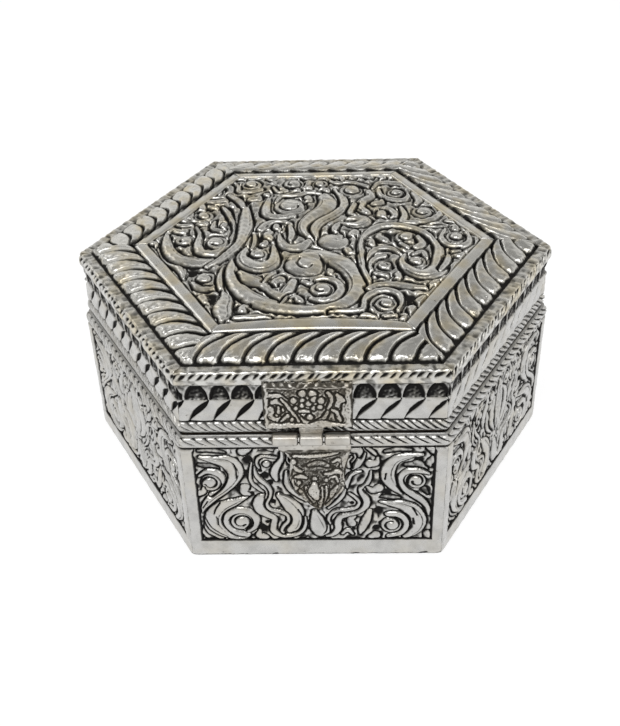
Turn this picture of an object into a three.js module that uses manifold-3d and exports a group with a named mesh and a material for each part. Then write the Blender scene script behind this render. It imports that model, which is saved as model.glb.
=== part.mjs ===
// Hexagonal keepsake box: wooden core in embossed white-metal sheet, with a hinged lid and a hasp.
// Millimetres, +Z up. The origin is the middle of the felt's underside, and the front faces -Y.
import * as THREE from "three";
import { mergeVertices } from "three/addons/utils/BufferGeometryUtils.js";
import Module from "manifold-3d";

// Overall form
const SIDES = 6;
const SIDE_NAMES = ["front", "front_right", "back_right", "back", "back_left", "front_left"];
const ACROSS_FLATS = 104;
const BASE_HEIGHT = 37.2;
// Running gap between neighbours, and the overrun of every cutting tool
const FIT = 0.3;
const OVERRUN = 1;

// Wooden core and linings
const FELT_THICKNESS = 1;
const FLOOR_THICKNESS = 3;
const WALL_THICKNESS = 4;
const LID_BOARD_THICKNESS = 4;
const LINING_THICKNESS = 0.8;

// Embossed side sheets of the base
const SHEET_THICKNESS = 0.5;
const BAND_HEIGHT = 4.9;
const BAND_STEP = 0.2;
const POST_WIDTH = 3.1;
const PANEL_RELIEF = 1.1;
const ROPE_HEIGHT = 2.7;
const ROPE_DEPTH = 0.7;
const ROPE_SETBACK = 0.5;
const GROOVE_HEIGHT = 0.5;

// Embossed skirt sheets of the lid
const LID_SETBACK = 0.8;
const LEAF_BAND_HEIGHT = 9.6;
const LEAF_GROUND_DEPTH = 1.3;
const LEAF_PITCH = 5.3;
const LEAF_RELIEF = 0.9;
const LEAF_GROOVE = 0.8;

// Cap of the lid
const CAP_THICKNESS = 0.8;
const LIP_OVERHANG = 0.25;
const LIP_HEIGHT = 1.6;
const BEAD_HEIGHT = 1.7;
const BEAD_TAPER = 0.35;
const BORDER_WIDTH = 3;
const GADROON_BAND_WIDTH = 9;
const GADROON_RISE = 1.8;
const GADROON_PITCH = 5.2;
const GADROON_RELIEF = 0.9;
const GADROON_GROOVE = 0.7;

// Frame and scroll panel in the middle of the lid
const FRAME_WIDTH = 2.8;
const FRAME_STAND = 0.3;
const FRAME_TILT = 0.3;

// Scrollwork: the usual scroll and the largest boss of the side panels and of the lid
const SIDE_SCROLL_WIDTH = 3;
const SIDE_BOSS_RADIUS = 3.6;
const LID_SCROLL_WIDTH = 3;
const LID_SCROLL_RELIEF = 1.4;
const LID_BOSS_RADIUS = 5;
const SCROLL_CROWN_SHARE = 0.6;

// Hinge barrels at the back, and the clasp's barrel at the front
const BARREL_RADIUS = 1.4;
const PIN_RADIUS = 0.55;
const LEAF_THICKNESS = 0.5;
const LEAF_SPACE = 0.4;
const HINGE_LENGTH = 14;
const HINGE_KNUCKLES = 3;
const HINGE_SPREAD = 36;
const HINGE_WOOD_LEFT = 1;
const HINGE_NAIL_SPREAD = 8;
const NAIL_LENGTH = 5;
const NAIL_RADIUS = 0.4;
const NAIL_HEAD_RADIUS = 0.7;

// Clasp plate, hasp and catch stud
const PLATE_WIDTH = 19;
const PLATE_HEIGHT = 12;
const PLATE_THICKNESS = 1.3;
const PLATE_RIM = 1.5;
const PLATE_SINK = 0.5;
const PLATE_OFFSET = -1;
const PEG_SPREAD = 13;
const PEG_RADIUS = 0.7;
const PEG_DEPTH = 2;
const CLASP_OFFSET = -0.4;
const CLASP_LIFT = 0.8;
const CLASP_LENGTH = 17.2;
const TONGUE_WIDTH = 5.2;
const TONGUE_LENGTH = 0.8;
const HASP_OFFSET = 0.8;
const HASP_WIDTH = 12.2;
const HASP_LENGTH = 20.1;
const HASP_THICKNESS = 0.8;
const HASP_TIP_FLARE = 1.2;
const HASP_BEND_SHARE = 0.5;
const BERRY_RADIUS = 1.1;
const BERRY_RELIEF = 0.4;
const PETAL_WIDTH = 1.6;
const PETAL_RELIEF = 0.6;
const STUD_RADIUS = 1.5;
const STUD_SHAFT_RADIUS = 0.6;
const STUD_SHAFT_LENGTH = 3;
const STUD_HEAD = 2.2;
const STUD_DROP_SHARE = 0.78;

// Facets round a pin, a nail and a small dome
const PIN_FACETS = 12;
const NAIL_FACETS = 8;
const BOSS_FACETS = 7;

// Worked-out distances from the middle to each flat, from the outside in
const HALF_ANGLE = Math.PI / SIDES;
const baseOuter = ACROSS_FLATS / 2;
const panelFace = baseOuter - BAND_STEP;
const panelGround = panelFace - PANEL_RELIEF;
const baseSheetBack = panelGround - SHEET_THICKNESS;
const wallOuter = baseSheetBack - FIT;
const wallInner = wallOuter - WALL_THICKNESS;
const liningOuter = wallInner - FIT;
const liningInner = liningOuter - LINING_THICKNESS;
const lidRopeFace = baseOuter - LID_SETBACK;
const leafGround = lidRopeFace - LEAF_GROUND_DEPTH;
const skirtBack = leafGround - SHEET_THICKNESS;
const railOuter = skirtBack - FIT;
const lipInner = railOuter + FIT;
const lipOuter = lidRopeFace + LIP_OVERHANG;
const shoulder = lipOuter - BEAD_TAPER;
const gadroonOuter = shoulder - BORDER_WIDTH;
const gadroonInner = gadroonOuter - GADROON_BAND_WIDTH;
const frameOuter = gadroonInner - FIT;
const frameInner = frameOuter - FRAME_WIDTH;
const scrollPanelOuter = frameInner - FIT;
const barrelAxisOut = baseOuter + BARREL_RADIUS + FIT;

// Worked-out heights, from the bottom up
const boardBottom = FELT_THICKNESS + FIT;
const floorTop = boardBottom + FLOOR_THICKNESS;
const floorLiningTop = floorTop + FIT + LINING_THICKNESS;
const baseRopeTop = BASE_HEIGHT - ROPE_SETBACK;
const baseRopeBottom = baseRopeTop - ROPE_HEIGHT;
const panelTop = baseRopeBottom - GROOVE_HEIGHT;
const panelBottom = FIT + BAND_HEIGHT;
const lidBottom = BASE_HEIGHT + FIT;
const barrelAxisHeight = BASE_HEIGHT + FIT / 2;
const lidRopeBottom = lidBottom + ROPE_SETBACK;
const lidRopeTop = lidRopeBottom + ROPE_HEIGHT;
const leafBottom = lidRopeTop + GROOVE_HEIGHT;
const leafTop = leafBottom + LEAF_BAND_HEIGHT;
const capBottom = leafTop + FIT;
const lipTop = capBottom + LIP_HEIGHT;
const shelfTop = lipTop + BEAD_HEIGHT;
const slopeTop = shelfTop + GADROON_RISE;
const lidBoardShelf = shelfTop - CAP_THICKNESS - FIT;
const lidBoardTop = slopeTop - CAP_THICKNESS - FIT;
const lidBoardBottom = lidBoardShelf - LID_BOARD_THICKNESS;
const railTop = lidBoardBottom - FIT;
const lidLiningBottom = railTop - LINING_THICKNESS;
const centreBottom = lidBoardTop + FIT;
const scrollGround = centreBottom + SHEET_THICKNESS;

// Hinge leaves
const lowerLeafTop = barrelAxisHeight - LEAF_SPACE / 2;
const lowerLeafBottom = lowerLeafTop - LEAF_THICKNESS;
const upperLeafBottom = barrelAxisHeight + LEAF_SPACE / 2;
const upperLeafTop = upperLeafBottom + LEAF_THICKNESS;
const hingeLeafInner = wallInner + HINGE_WOOD_LEFT;
const hingeNailOut = (hingeLeafInner + Math.min(wallOuter, railOuter)) / 2;
const knuckleLength = (HINGE_LENGTH - (HINGE_KNUCKLES - 1) * FIT) / HINGE_KNUCKLES;

// Clasp
const claspAxisHeight = barrelAxisHeight + CLASP_LIFT;
const plateBack = lipOuter + FIT;
const plateFace = plateBack + PLATE_THICKNESS;
const plateBottom = claspAxisHeight + BARREL_RADIUS + TONGUE_LENGTH;
const plateTop = plateBottom + PLATE_HEIGHT;
const pegEnd = railOuter - PEG_DEPTH;
const pegHeight = (leafBottom + leafTop) / 2;
const pegXs = [PLATE_OFFSET - PEG_SPREAD / 2, PLATE_OFFSET + PEG_SPREAD / 2];
const haspBack = barrelAxisOut - HASP_THICKNESS / 2;
const haspFace = haspBack + HASP_THICKNESS;
const haspTip = claspAxisHeight - HASP_LENGTH;
const studHeight = claspAxisHeight - HASP_LENGTH * STUD_DROP_SHARE;

const wasm = await Module();
wasm.setup();

// Materials
const finishes = {
  silver: { color: 0xb9b8b4, roughness: 0.32, metalness: 1 },
  castSilver: { color: 0xa8a6a0, roughness: 0.42, metalness: 1 },
  steel: { color: 0xc4c4c2, roughness: 0.3, metalness: 1 },
  wood: { color: 0xa9825a, roughness: 0.7, metalness: 0 },
  velvet: { color: 0x6e1420, roughness: 0.95, metalness: 0 },
  felt: { color: 0x23211f, roughness: 1, metalness: 0 },
};

// Helpers that turn geometries into solids and back
function solidOf(geometry) {
  const bare = geometry.clone();
  bare.deleteAttribute("normal");
  bare.deleteAttribute("uv");
  const merged = mergeVertices(bare);
  return new wasm.Manifold(new wasm.Mesh({
    numProp: 3,
    vertProperties: new Float32Array(merged.attributes.position.array),
    triVerts: new Uint32Array(merged.index.array),
  }));
}

function geometryOf(solid) {
  const mesh = solid.getMesh();
  const geometry = new THREE.BufferGeometry();
  geometry.setAttribute("position", new THREE.BufferAttribute(mesh.vertProperties, mesh.numProp));
  geometry.setIndex(new THREE.BufferAttribute(mesh.triVerts, 1));
  geometry.computeVertexNormals();
  return geometry;
}

function cut(solid, ...tools) {
  return tools.reduce((left, tool) => left.subtract(tool), solid);
}

function join(solid, ...others) {
  return others.reduce((whole, other) => whole.add(other), solid);
}

// Basic solids placed by their limits
function block(x0, x1, y0, y1, z0, z1) {
  const geometry = new THREE.BoxGeometry(x1 - x0, y1 - y0, z1 - z0);
  geometry.translate((x0 + x1) / 2, (y0 + y1) / 2, (z0 + z1) / 2);
  return solidOf(geometry);
}

function rodAlongX(radius, x0, x1, y, z, facets = PIN_FACETS) {
  const geometry = new THREE.CylinderGeometry(radius, radius, x1 - x0, facets);
  geometry.rotateZ(Math.PI / 2);
  geometry.translate((x0 + x1) / 2, y, z);
  return solidOf(geometry);
}

function rodAlongY(radius, x, y0, y1, z, facets = NAIL_FACETS) {
  const geometry = new THREE.CylinderGeometry(radius, radius, y1 - y0, facets);
  geometry.translate(x, (y0 + y1) / 2, z);
  return solidOf(geometry);
}

function rodAlongZ(radius, x, y, z0, z1, facets = NAIL_FACETS) {
  const geometry = new THREE.CylinderGeometry(radius, radius, z1 - z0, facets);
  geometry.rotateX(Math.PI / 2);
  geometry.translate(x, y, (z0 + z1) / 2);
  return solidOf(geometry);
}

// A hexagonal turning: the profile gives distances to the flats and heights
function hexagonal(profile) {
  const points = profile.map(([out, z]) => new THREE.Vector2(out / Math.cos(HALF_ANGLE), z));
  const geometry = new THREE.LatheGeometry(points, SIDES, HALF_ANGLE);
  geometry.rotateX(Math.PI / 2);
  return solidOf(geometry);
}

// Half the length of a mitred piece at a distance from the middle, less half the mitre gap
function mitreHalf(out, gap = FIT) {
  return out * Math.tan(HALF_ANGLE) - gap / 2 / Math.cos(HALF_ANGLE);
}

// A moulding along the front side, mitred at both ends: the profile runs counter-clockwise
function mitred(profile, gap = FIT) {
  const flat = profile.map(([out, z]) => new THREE.Vector2(out, z));
  const caps = THREE.ShapeUtils.triangulateShape(flat, []);
  const positions = [];
  for (const end of [-1, 1]) {
    for (const [out, z] of profile) positions.push(end * mitreHalf(out, gap), -out, z);
  }
  const index = [];
  const count = profile.length;
  for (const [a, b, c] of caps) {
    index.push(a, b, c);
    index.push(a + count, c + count, b + count);
  }
  for (let i = 0; i < count; i += 1) {
    const j = (i + 1) % count;
    index.push(i, i + count, j + count);
    index.push(i, j + count, j);
  }
  const geometry = new THREE.BufferGeometry();
  geometry.setAttribute("position", new THREE.Float32BufferAttribute(positions, 3));
  geometry.setIndex(index);
  return solidOf(geometry);
}

function mitredBar(inner, outer, bottom, top) {
  return mitred([[inner, bottom], [outer, bottom], [outer, top], [inner, top]]);
}

// A loft through rings of equal point counts, closed at both ends
function loft(rings) {
  const size = rings[0].length;
  const positions = rings.flat().flatMap((point) => [point.x, point.y, point.z]);
  const index = [];
  for (let r = 0; r + 1 < rings.length; r += 1) {
    for (let i = 0; i < size; i += 1) {
      const j = (i + 1) % size;
      const a = r * size;
      const b = a + size;
      index.push(a + i, a + j, b + j);
      index.push(a + i, b + j, b + i);
    }
  }
  const last = (rings.length - 1) * size;
  for (let i = 1; i + 1 < size; i += 1) {
    index.push(0, i + 1, i);
    index.push(last, last + i, last + i + 1);
  }
  const geometry = new THREE.BufferGeometry();
  geometry.setAttribute("position", new THREE.Float32BufferAttribute(positions, 3));
  geometry.setIndex(index);
  return solidOf(geometry);
}

// Scene graph: the base, the lid on its hinges and the hasp on its pin
const box = new THREE.Group();
const base = new THREE.Group();
const lid = new THREE.Group();
const hasp = new THREE.Group();
box.add(base);
box.add(lid);
lid.add(hasp);

function place(group, name, solid, finish, turn = 0) {
  const mesh = new THREE.Mesh(geometryOf(solid), new THREE.MeshStandardMaterial(finishes[finish]));
  mesh.name = name;
  mesh.rotation.z = turn;
  group.add(mesh);
}

// Places one piece on each side; the maker gets the side's name
function placeAround(group, name, finish, make) {
  SIDE_NAMES.forEach((side, i) => {
    place(group, `${name}_${side}`, make(side), finish, i * 2 * HALF_ANGLE);
  });
}

// The middle of each hinge, seen from behind as the back piece lies in its own frame at the front
const hingeMiddles = [-HINGE_SPREAD / 2, HINGE_SPREAD / 2];

function hingeNailXs(middle) {
  return [middle - HINGE_NAIL_SPREAD / 2, middle + HINGE_NAIL_SPREAD / 2];
}

// Room for the hinge leaves and nails in a back piece, which is modelled at the front and turned
function hingeRoom(bottom, top, nailBottom, nailTop) {
  const tools = [];
  for (const middle of hingeMiddles) {
    const half = HINGE_LENGTH / 2 + FIT;
    tools.push(block(middle - half, middle + half, -baseOuter - OVERRUN, FIT - hingeLeafInner, bottom, top));
    for (const x of hingeNailXs(middle)) {
      tools.push(rodAlongZ(NAIL_RADIUS + FIT, x, -hingeNailOut, nailBottom, nailTop));
    }
  }
  return tools;
}

const lowerHingeRoom = hingeRoom(
  lowerLeafBottom - FIT,
  BASE_HEIGHT + OVERRUN,
  lowerLeafTop - NAIL_LENGTH - FIT,
  BASE_HEIGHT + OVERRUN,
);
const upperHingeRoom = hingeRoom(
  lidBottom - OVERRUN,
  upperLeafTop + FIT,
  lidBottom - OVERRUN,
  upperLeafBottom + NAIL_LENGTH + FIT,
);

// Base: felt, floor, walls and linings
place(base, "base_felt", hexagonal([
  [0, 0],
  [wallOuter, 0],
  [wallOuter, FELT_THICKNESS],
  [0, FELT_THICKNESS],
]), "felt");
place(base, "floor_board", hexagonal([
  [0, boardBottom],
  [liningOuter, boardBottom],
  [liningOuter, floorTop],
  [0, floorTop],
]), "wood");
const studRoom = rodAlongY(
  STUD_SHAFT_RADIUS + FIT,
  HASP_OFFSET,
  -baseOuter - OVERRUN,
  STUD_SHAFT_LENGTH + FIT - wallOuter,
  studHeight,
);
placeAround(base, "wall_board", "wood", (side) => {
  const board = mitredBar(wallInner, wallOuter, boardBottom, BASE_HEIGHT - FIT);
  if (side === "front") return cut(board, studRoom);
  if (side === "back") return cut(board, ...lowerHingeRoom);
  return board;
});
place(base, "floor_lining", hexagonal([
  [0, floorTop + FIT],
  [liningInner - FIT, floorTop + FIT],
  [liningInner - FIT, floorLiningTop],
  [0, floorLiningTop],
]), "velvet");
place(base, "wall_lining", hexagonal([
  [liningInner, floorTop + FIT],
  [liningOuter, floorTop + FIT],
  [liningOuter, BASE_HEIGHT - FIT],
  [liningInner, BASE_HEIGHT - FIT],
  [liningInner, floorTop + FIT],
]), "velvet");

// Base: embossed side sheets with bottom band, posts, sunk panel and rope
// The round of a rope moulding, from its foot up
const ropeRoundShares = [[0, 0], [0.75, 0.16], [1, 0.5], [0.75, 0.84], [0, 1]];
function ropeRound(face, bottom) {
  return ropeRoundShares.map(([proud, up]) => [face - ROPE_DEPTH * (1 - proud), bottom + ROPE_HEIGHT * up]);
}

// Scrolls and bosses over a surface that gives a point for a place along it, up it and out of it.
// Routes and places are shares of the ornament's reach across and up. Each place of a route ends in
// the scroll's width there and each boss in its radius, as shares of the usual width and the largest
// radius.
function scroll(routeShares, ornament) {
  const route = new THREE.CatmullRomCurve3(routeShares.map(([across, up, width]) => new THREE.Vector3(
    across * ornament.across,
    up * ornament.up,
    width * ornament.scrollWidth / 2,
  )));
  const rings = routeShares.map((share, i) => {
    const t = i / (routeShares.length - 1);
    const middle = route.getPoint(t);
    const heading = route.getTangent(t);
    const aside = new THREE.Vector2(heading.y, -heading.x).normalize().multiplyScalar(middle.z);
    const section = [
      [-1, -ornament.root],
      [-SCROLL_CROWN_SHARE, ornament.relief],
      [SCROLL_CROWN_SHARE, ornament.relief],
      [1, -ornament.root],
    ];
    return section.map(([side, rise]) => ornament.surface(
      middle.x + side * aside.x,
      middle.y + side * aside.y,
      rise,
    ));
  });
  return loft(rings);
}

function boss([across, up, radiusShare], ornament) {
  const x = across * ornament.across;
  const y = up * ornament.up;
  const ring = (radius, rise) => Array.from({ length: BOSS_FACETS }, (_, i) => {
    const angle = 2 * Math.PI * i / BOSS_FACETS;
    return ornament.surface(x + radius * Math.cos(angle), y + radius * Math.sin(angle), rise);
  });
  const radius = radiusShare * ornament.bossRadius;
  return loft([ring(radius, -ornament.root), ring(radius * SCROLL_CROWN_SHARE, ornament.relief)]);
}

function scrollwork(ornament) {
  const scrolls = ornament.scrollShares.map((routeShares) => scroll(routeShares, ornament));
  const bosses = ornament.bossShares.map((places) => boss(places, ornament));
  return join(...scrolls, ...bosses);
}

function sideSheet() {
  return mitred([
    [baseSheetBack, FIT],
    [baseOuter, FIT],
    [baseOuter, panelBottom - BAND_STEP],
    [panelFace, panelBottom],
    [panelFace, panelTop],
    [baseOuter - ROPE_DEPTH, panelTop],
    ...ropeRound(baseOuter, baseRopeBottom),
    [baseOuter - ROPE_DEPTH, BASE_HEIGHT],
    [baseSheetBack, BASE_HEIGHT],
  ]);
}

const panelHalf = mitreHalf(panelFace) - POST_WIDTH;
const panelHeight = panelTop - BAND_STEP - panelBottom;
const sideOrnament = {
  across: panelHalf,
  up: panelHeight,
  scrollWidth: SIDE_SCROLL_WIDTH,
  bossRadius: SIDE_BOSS_RADIUS,
  relief: PANEL_RELIEF,
  root: SHEET_THICKNESS / 2,
  surface: (along, up, rise) => new THREE.Vector3(along, -panelGround - rise, panelBottom + up),
  scrollShares: [
    [[-0.97, 0.92, 0.2], [-0.8, 0.88, 0.8], [-0.69, 0.76, 1.2], [-0.75, 0.6, 0.75], [-0.91, 0.48, 0.6],
      [-0.97, 0.33, 0.2]],
    [[-0.59, 0.49, 0.15], [-0.75, 0.41, 0.9], [-0.88, 0.29, 1.3], [-0.88, 0.15, 1.1], [-0.77, 0.06, 0.7],
      [-0.62, 0.05, 0.3]],
    [[-0.54, 0.79, 0.3], [-0.465, 0.54, 0.6], [-0.5, 0.41, 1], [-0.39, 0.26, 0.7], [-0.35, 0.04, 0.4]],
    [[-0.33, 0.49, 0.6], [-0.23, 0.24, 1.3], [-0.22, 0.08, 1.2]],
    [[0.92, 0.92, 0.2], [0.72, 0.885, 0.6], [0.63, 0.72, 1], [0.7, 0.58, 0.75], [0.79, 0.5, 0.4]],
    [[0.97, 0.72, 0.2], [0.85, 0.76, 0.45], [0.75, 0.68, 0.45], [0.8, 0.54, 0.5], [0.93, 0.42, 0.5],
      [0.97, 0.28, 0.3]],
    [[0.57, 0.415, 0.15], [0.76, 0.37, 0.8], [0.89, 0.25, 1.2], [0.88, 0.11, 0.8], [0.8, 0.05, 0.3]],
    [[0.51, 0.77, 0.35], [0.41, 0.58, 0.4], [0.46, 0.445, 0.7], [0.375, 0.31, 0.6], [0.14, 0.21, 0.4]],
  ],
  bossShares: [[-0.88, 0.64, 0.6], [-0.66, 0.205, 1], [0.87, 0.64, 0.55], [0.67, 0.16, 0.85]],
};
const panelWindow = block(
  -panelHalf,
  panelHalf,
  -panelFace,
  -baseSheetBack,
  panelBottom,
  panelBottom + panelHeight,
);
const sideScrolls = scrollwork(sideOrnament).intersect(panelWindow);
placeAround(base, "side_sheet", "silver", (side) => {
  const sunk = cut(sideSheet(), block(
    -panelHalf,
    panelHalf,
    -baseOuter - OVERRUN,
    -panelGround,
    panelBottom,
    panelBottom + panelHeight,
  ));
  let sheet = sunk.add(sideScrolls);
  if (side === "front") sheet = cut(sheet, studRoom);
  if (side === "back") sheet = cut(sheet, ...lowerHingeRoom);
  return sheet;
});

// Catch stud: a domed nail through the front sheet into the front board
const studBack = panelGround + FIT;
const studFace = studBack + STUD_HEAD;
function stud() {
  const profile = [
    [0, -studFace],
    [STUD_RADIUS / 2, -studFace],
    [STUD_RADIUS, -studBack - STUD_HEAD / 2],
    [STUD_RADIUS, -studBack],
    [STUD_SHAFT_RADIUS, -studBack],
    [STUD_SHAFT_RADIUS, STUD_SHAFT_LENGTH - wallOuter],
    [0, STUD_SHAFT_LENGTH - wallOuter],
  ];
  const points = profile.map(([radius, y]) => new THREE.Vector2(radius, y));
  const geometry = new THREE.LatheGeometry(points, PIN_FACETS);
  geometry.translate(HASP_OFFSET, 0, studHeight);
  return solidOf(geometry);
}
place(base, "catch_stud", stud(), "steel");

// Lid: rails, board and linings
const pegRoom = pegXs.map((x) => rodAlongY(PEG_RADIUS + FIT, x, -plateBack, FIT - pegEnd, pegHeight));
placeAround(lid, "lid_rail", "wood", (side) => {
  const rail = mitredBar(wallInner, railOuter, lidBottom + FIT, railTop);
  if (side === "front") return cut(rail, ...pegRoom);
  if (side === "back") return cut(rail, ...upperHingeRoom);
  return rail;
});
place(lid, "lid_board", hexagonal([
  [0, lidBoardBottom],
  [railOuter, lidBoardBottom],
  [railOuter, lidBoardShelf],
  [gadroonOuter, lidBoardShelf],
  [gadroonInner, lidBoardTop],
  [0, lidBoardTop],
]), "wood");
place(lid, "lid_top_lining", hexagonal([
  [0, lidLiningBottom],
  [liningOuter, lidLiningBottom],
  [liningOuter, railTop],
  [0, railTop],
]), "velvet");
place(lid, "lid_wall_lining", hexagonal([
  [liningInner, lidBottom + FIT],
  [liningOuter, lidBottom + FIT],
  [liningOuter, lidLiningBottom - FIT],
  [liningInner, lidLiningBottom - FIT],
  [liningInner, lidBottom + FIT],
]), "velvet");

// Raised flutes that lean along a band: each has a blunt end, swells, and turns into a thin tail.
// Positions are along the side and into the band, as shares of its width. The hand is -1 where
// along, into the band and out of the surface make a right-handed set.
const fluteStationShares = [0, 0.4, 1];
const fluteWidthShares = [0.6, 1, 0.4];
const fluteHeightShares = [0.6, 1, 0.25];
const FLUTE_CROWN_SHARE = 0.5;

function flute(start, band) {
  const corner = (share) => new THREE.Vector2(start + share[0] * band.width, share[1] * band.width);
  const curve = new THREE.QuadraticBezierCurve(...band.curveShares.map(corner));
  const rings = fluteStationShares.map((t, i) => {
    const middle = curve.getPoint(t);
    const half = (band.pitch - band.groove) / 2 * fluteWidthShares[i];
    const height = band.relief * fluteHeightShares[i];
    const section = [
      [-1, -SHEET_THICKNESS / 2],
      [-FLUTE_CROWN_SHARE, height],
      [FLUTE_CROWN_SHARE, height],
      [1, -SHEET_THICKNESS / 2],
    ];
    return section.map(([side, rise]) => band.surface(
      middle.x - side * half * band.hand,
      middle.y,
      rise,
    ));
  });
  return loft(rings);
}

function flutes(band, wedge) {
  const reach = Math.ceil((mitreHalf(band.outer) + 2 * band.width) / band.pitch);
  let all = flute(-reach * band.pitch, band);
  for (let i = 1 - reach; i <= reach; i += 1) all = all.add(flute(i * band.pitch, band));
  return all.intersect(wedge);
}

// Lid: embossed skirt sheets with rope and leaf band
const leafBand = {
  width: LEAF_BAND_HEIGHT,
  outer: leafGround,
  pitch: LEAF_PITCH,
  groove: LEAF_GROOVE,
  relief: LEAF_RELIEF,
  curveShares: [[0, 0.06], [-0.25, 0.65], [-0.85, 0.94]],
  hand: 1,
  surface: (along, deep, rise) => new THREE.Vector3(along, -leafGround - rise, leafTop - deep),
};
function skirtSheet() {
  const moulding = mitred([
    [skirtBack, lidBottom],
    [lidRopeFace - ROPE_DEPTH, lidBottom],
    ...ropeRound(lidRopeFace, lidRopeBottom),
    [leafGround, lidRopeTop],
    [leafGround, leafTop],
    [skirtBack, leafTop],
  ]);
  const wedge = mitredBar(skirtBack, leafGround + LEAF_RELIEF + OVERRUN, leafBottom, leafTop);
  return moulding.add(flutes(leafBand, wedge));
}
const skirt = skirtSheet();
placeAround(lid, "skirt_sheet", "silver", (side) => {
  if (side === "front") return cut(skirt, ...pegRoom);
  if (side === "back") return cut(skirt, ...upperHingeRoom);
  return skirt;
});

// Lid: cap with lip, beaded shoulder, border and gadroons
const gadroonBand = {
  width: GADROON_BAND_WIDTH,
  outer: gadroonOuter,
  pitch: GADROON_PITCH,
  groove: GADROON_GROOVE,
  relief: GADROON_RELIEF,
  curveShares: [[0, 0.05], [0.4, 0.72], [1.15, 0.95]],
  hand: -1,
  surface: (along, deep, rise) => new THREE.Vector3(
    along,
    deep - gadroonOuter,
    shelfTop + deep / GADROON_BAND_WIDTH * GADROON_RISE + rise,
  ),
};
function capShell() {
  return hexagonal([
    [gadroonInner, slopeTop - CAP_THICKNESS],
    [gadroonOuter, shelfTop - CAP_THICKNESS],
    [lipInner, shelfTop - CAP_THICKNESS],
    [lipInner, capBottom],
    [lipOuter, capBottom],
    [lipOuter, lipTop],
    [shoulder, shelfTop],
    [gadroonOuter, shelfTop],
    [gadroonInner, slopeTop],
    [gadroonInner, slopeTop - CAP_THICKNESS],
  ]);
}
function turned(solid, angle) {
  const geometry = geometryOf(solid);
  geometry.rotateZ(angle);
  return solidOf(geometry);
}
function lidCap() {
  const wedge = mitredBar(
    gadroonInner,
    gadroonOuter,
    shelfTop - CAP_THICKNESS / 2,
    slopeTop + GADROON_RELIEF + OVERRUN,
  );
  const oneSide = flutes(gadroonBand, wedge);
  return SIDE_NAMES.reduce((cap, side, i) => cap.add(turned(oneSide, i * 2 * HALF_ANGLE)), capShell());
}
place(lid, "lid_cap", lidCap(), "silver");

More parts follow.
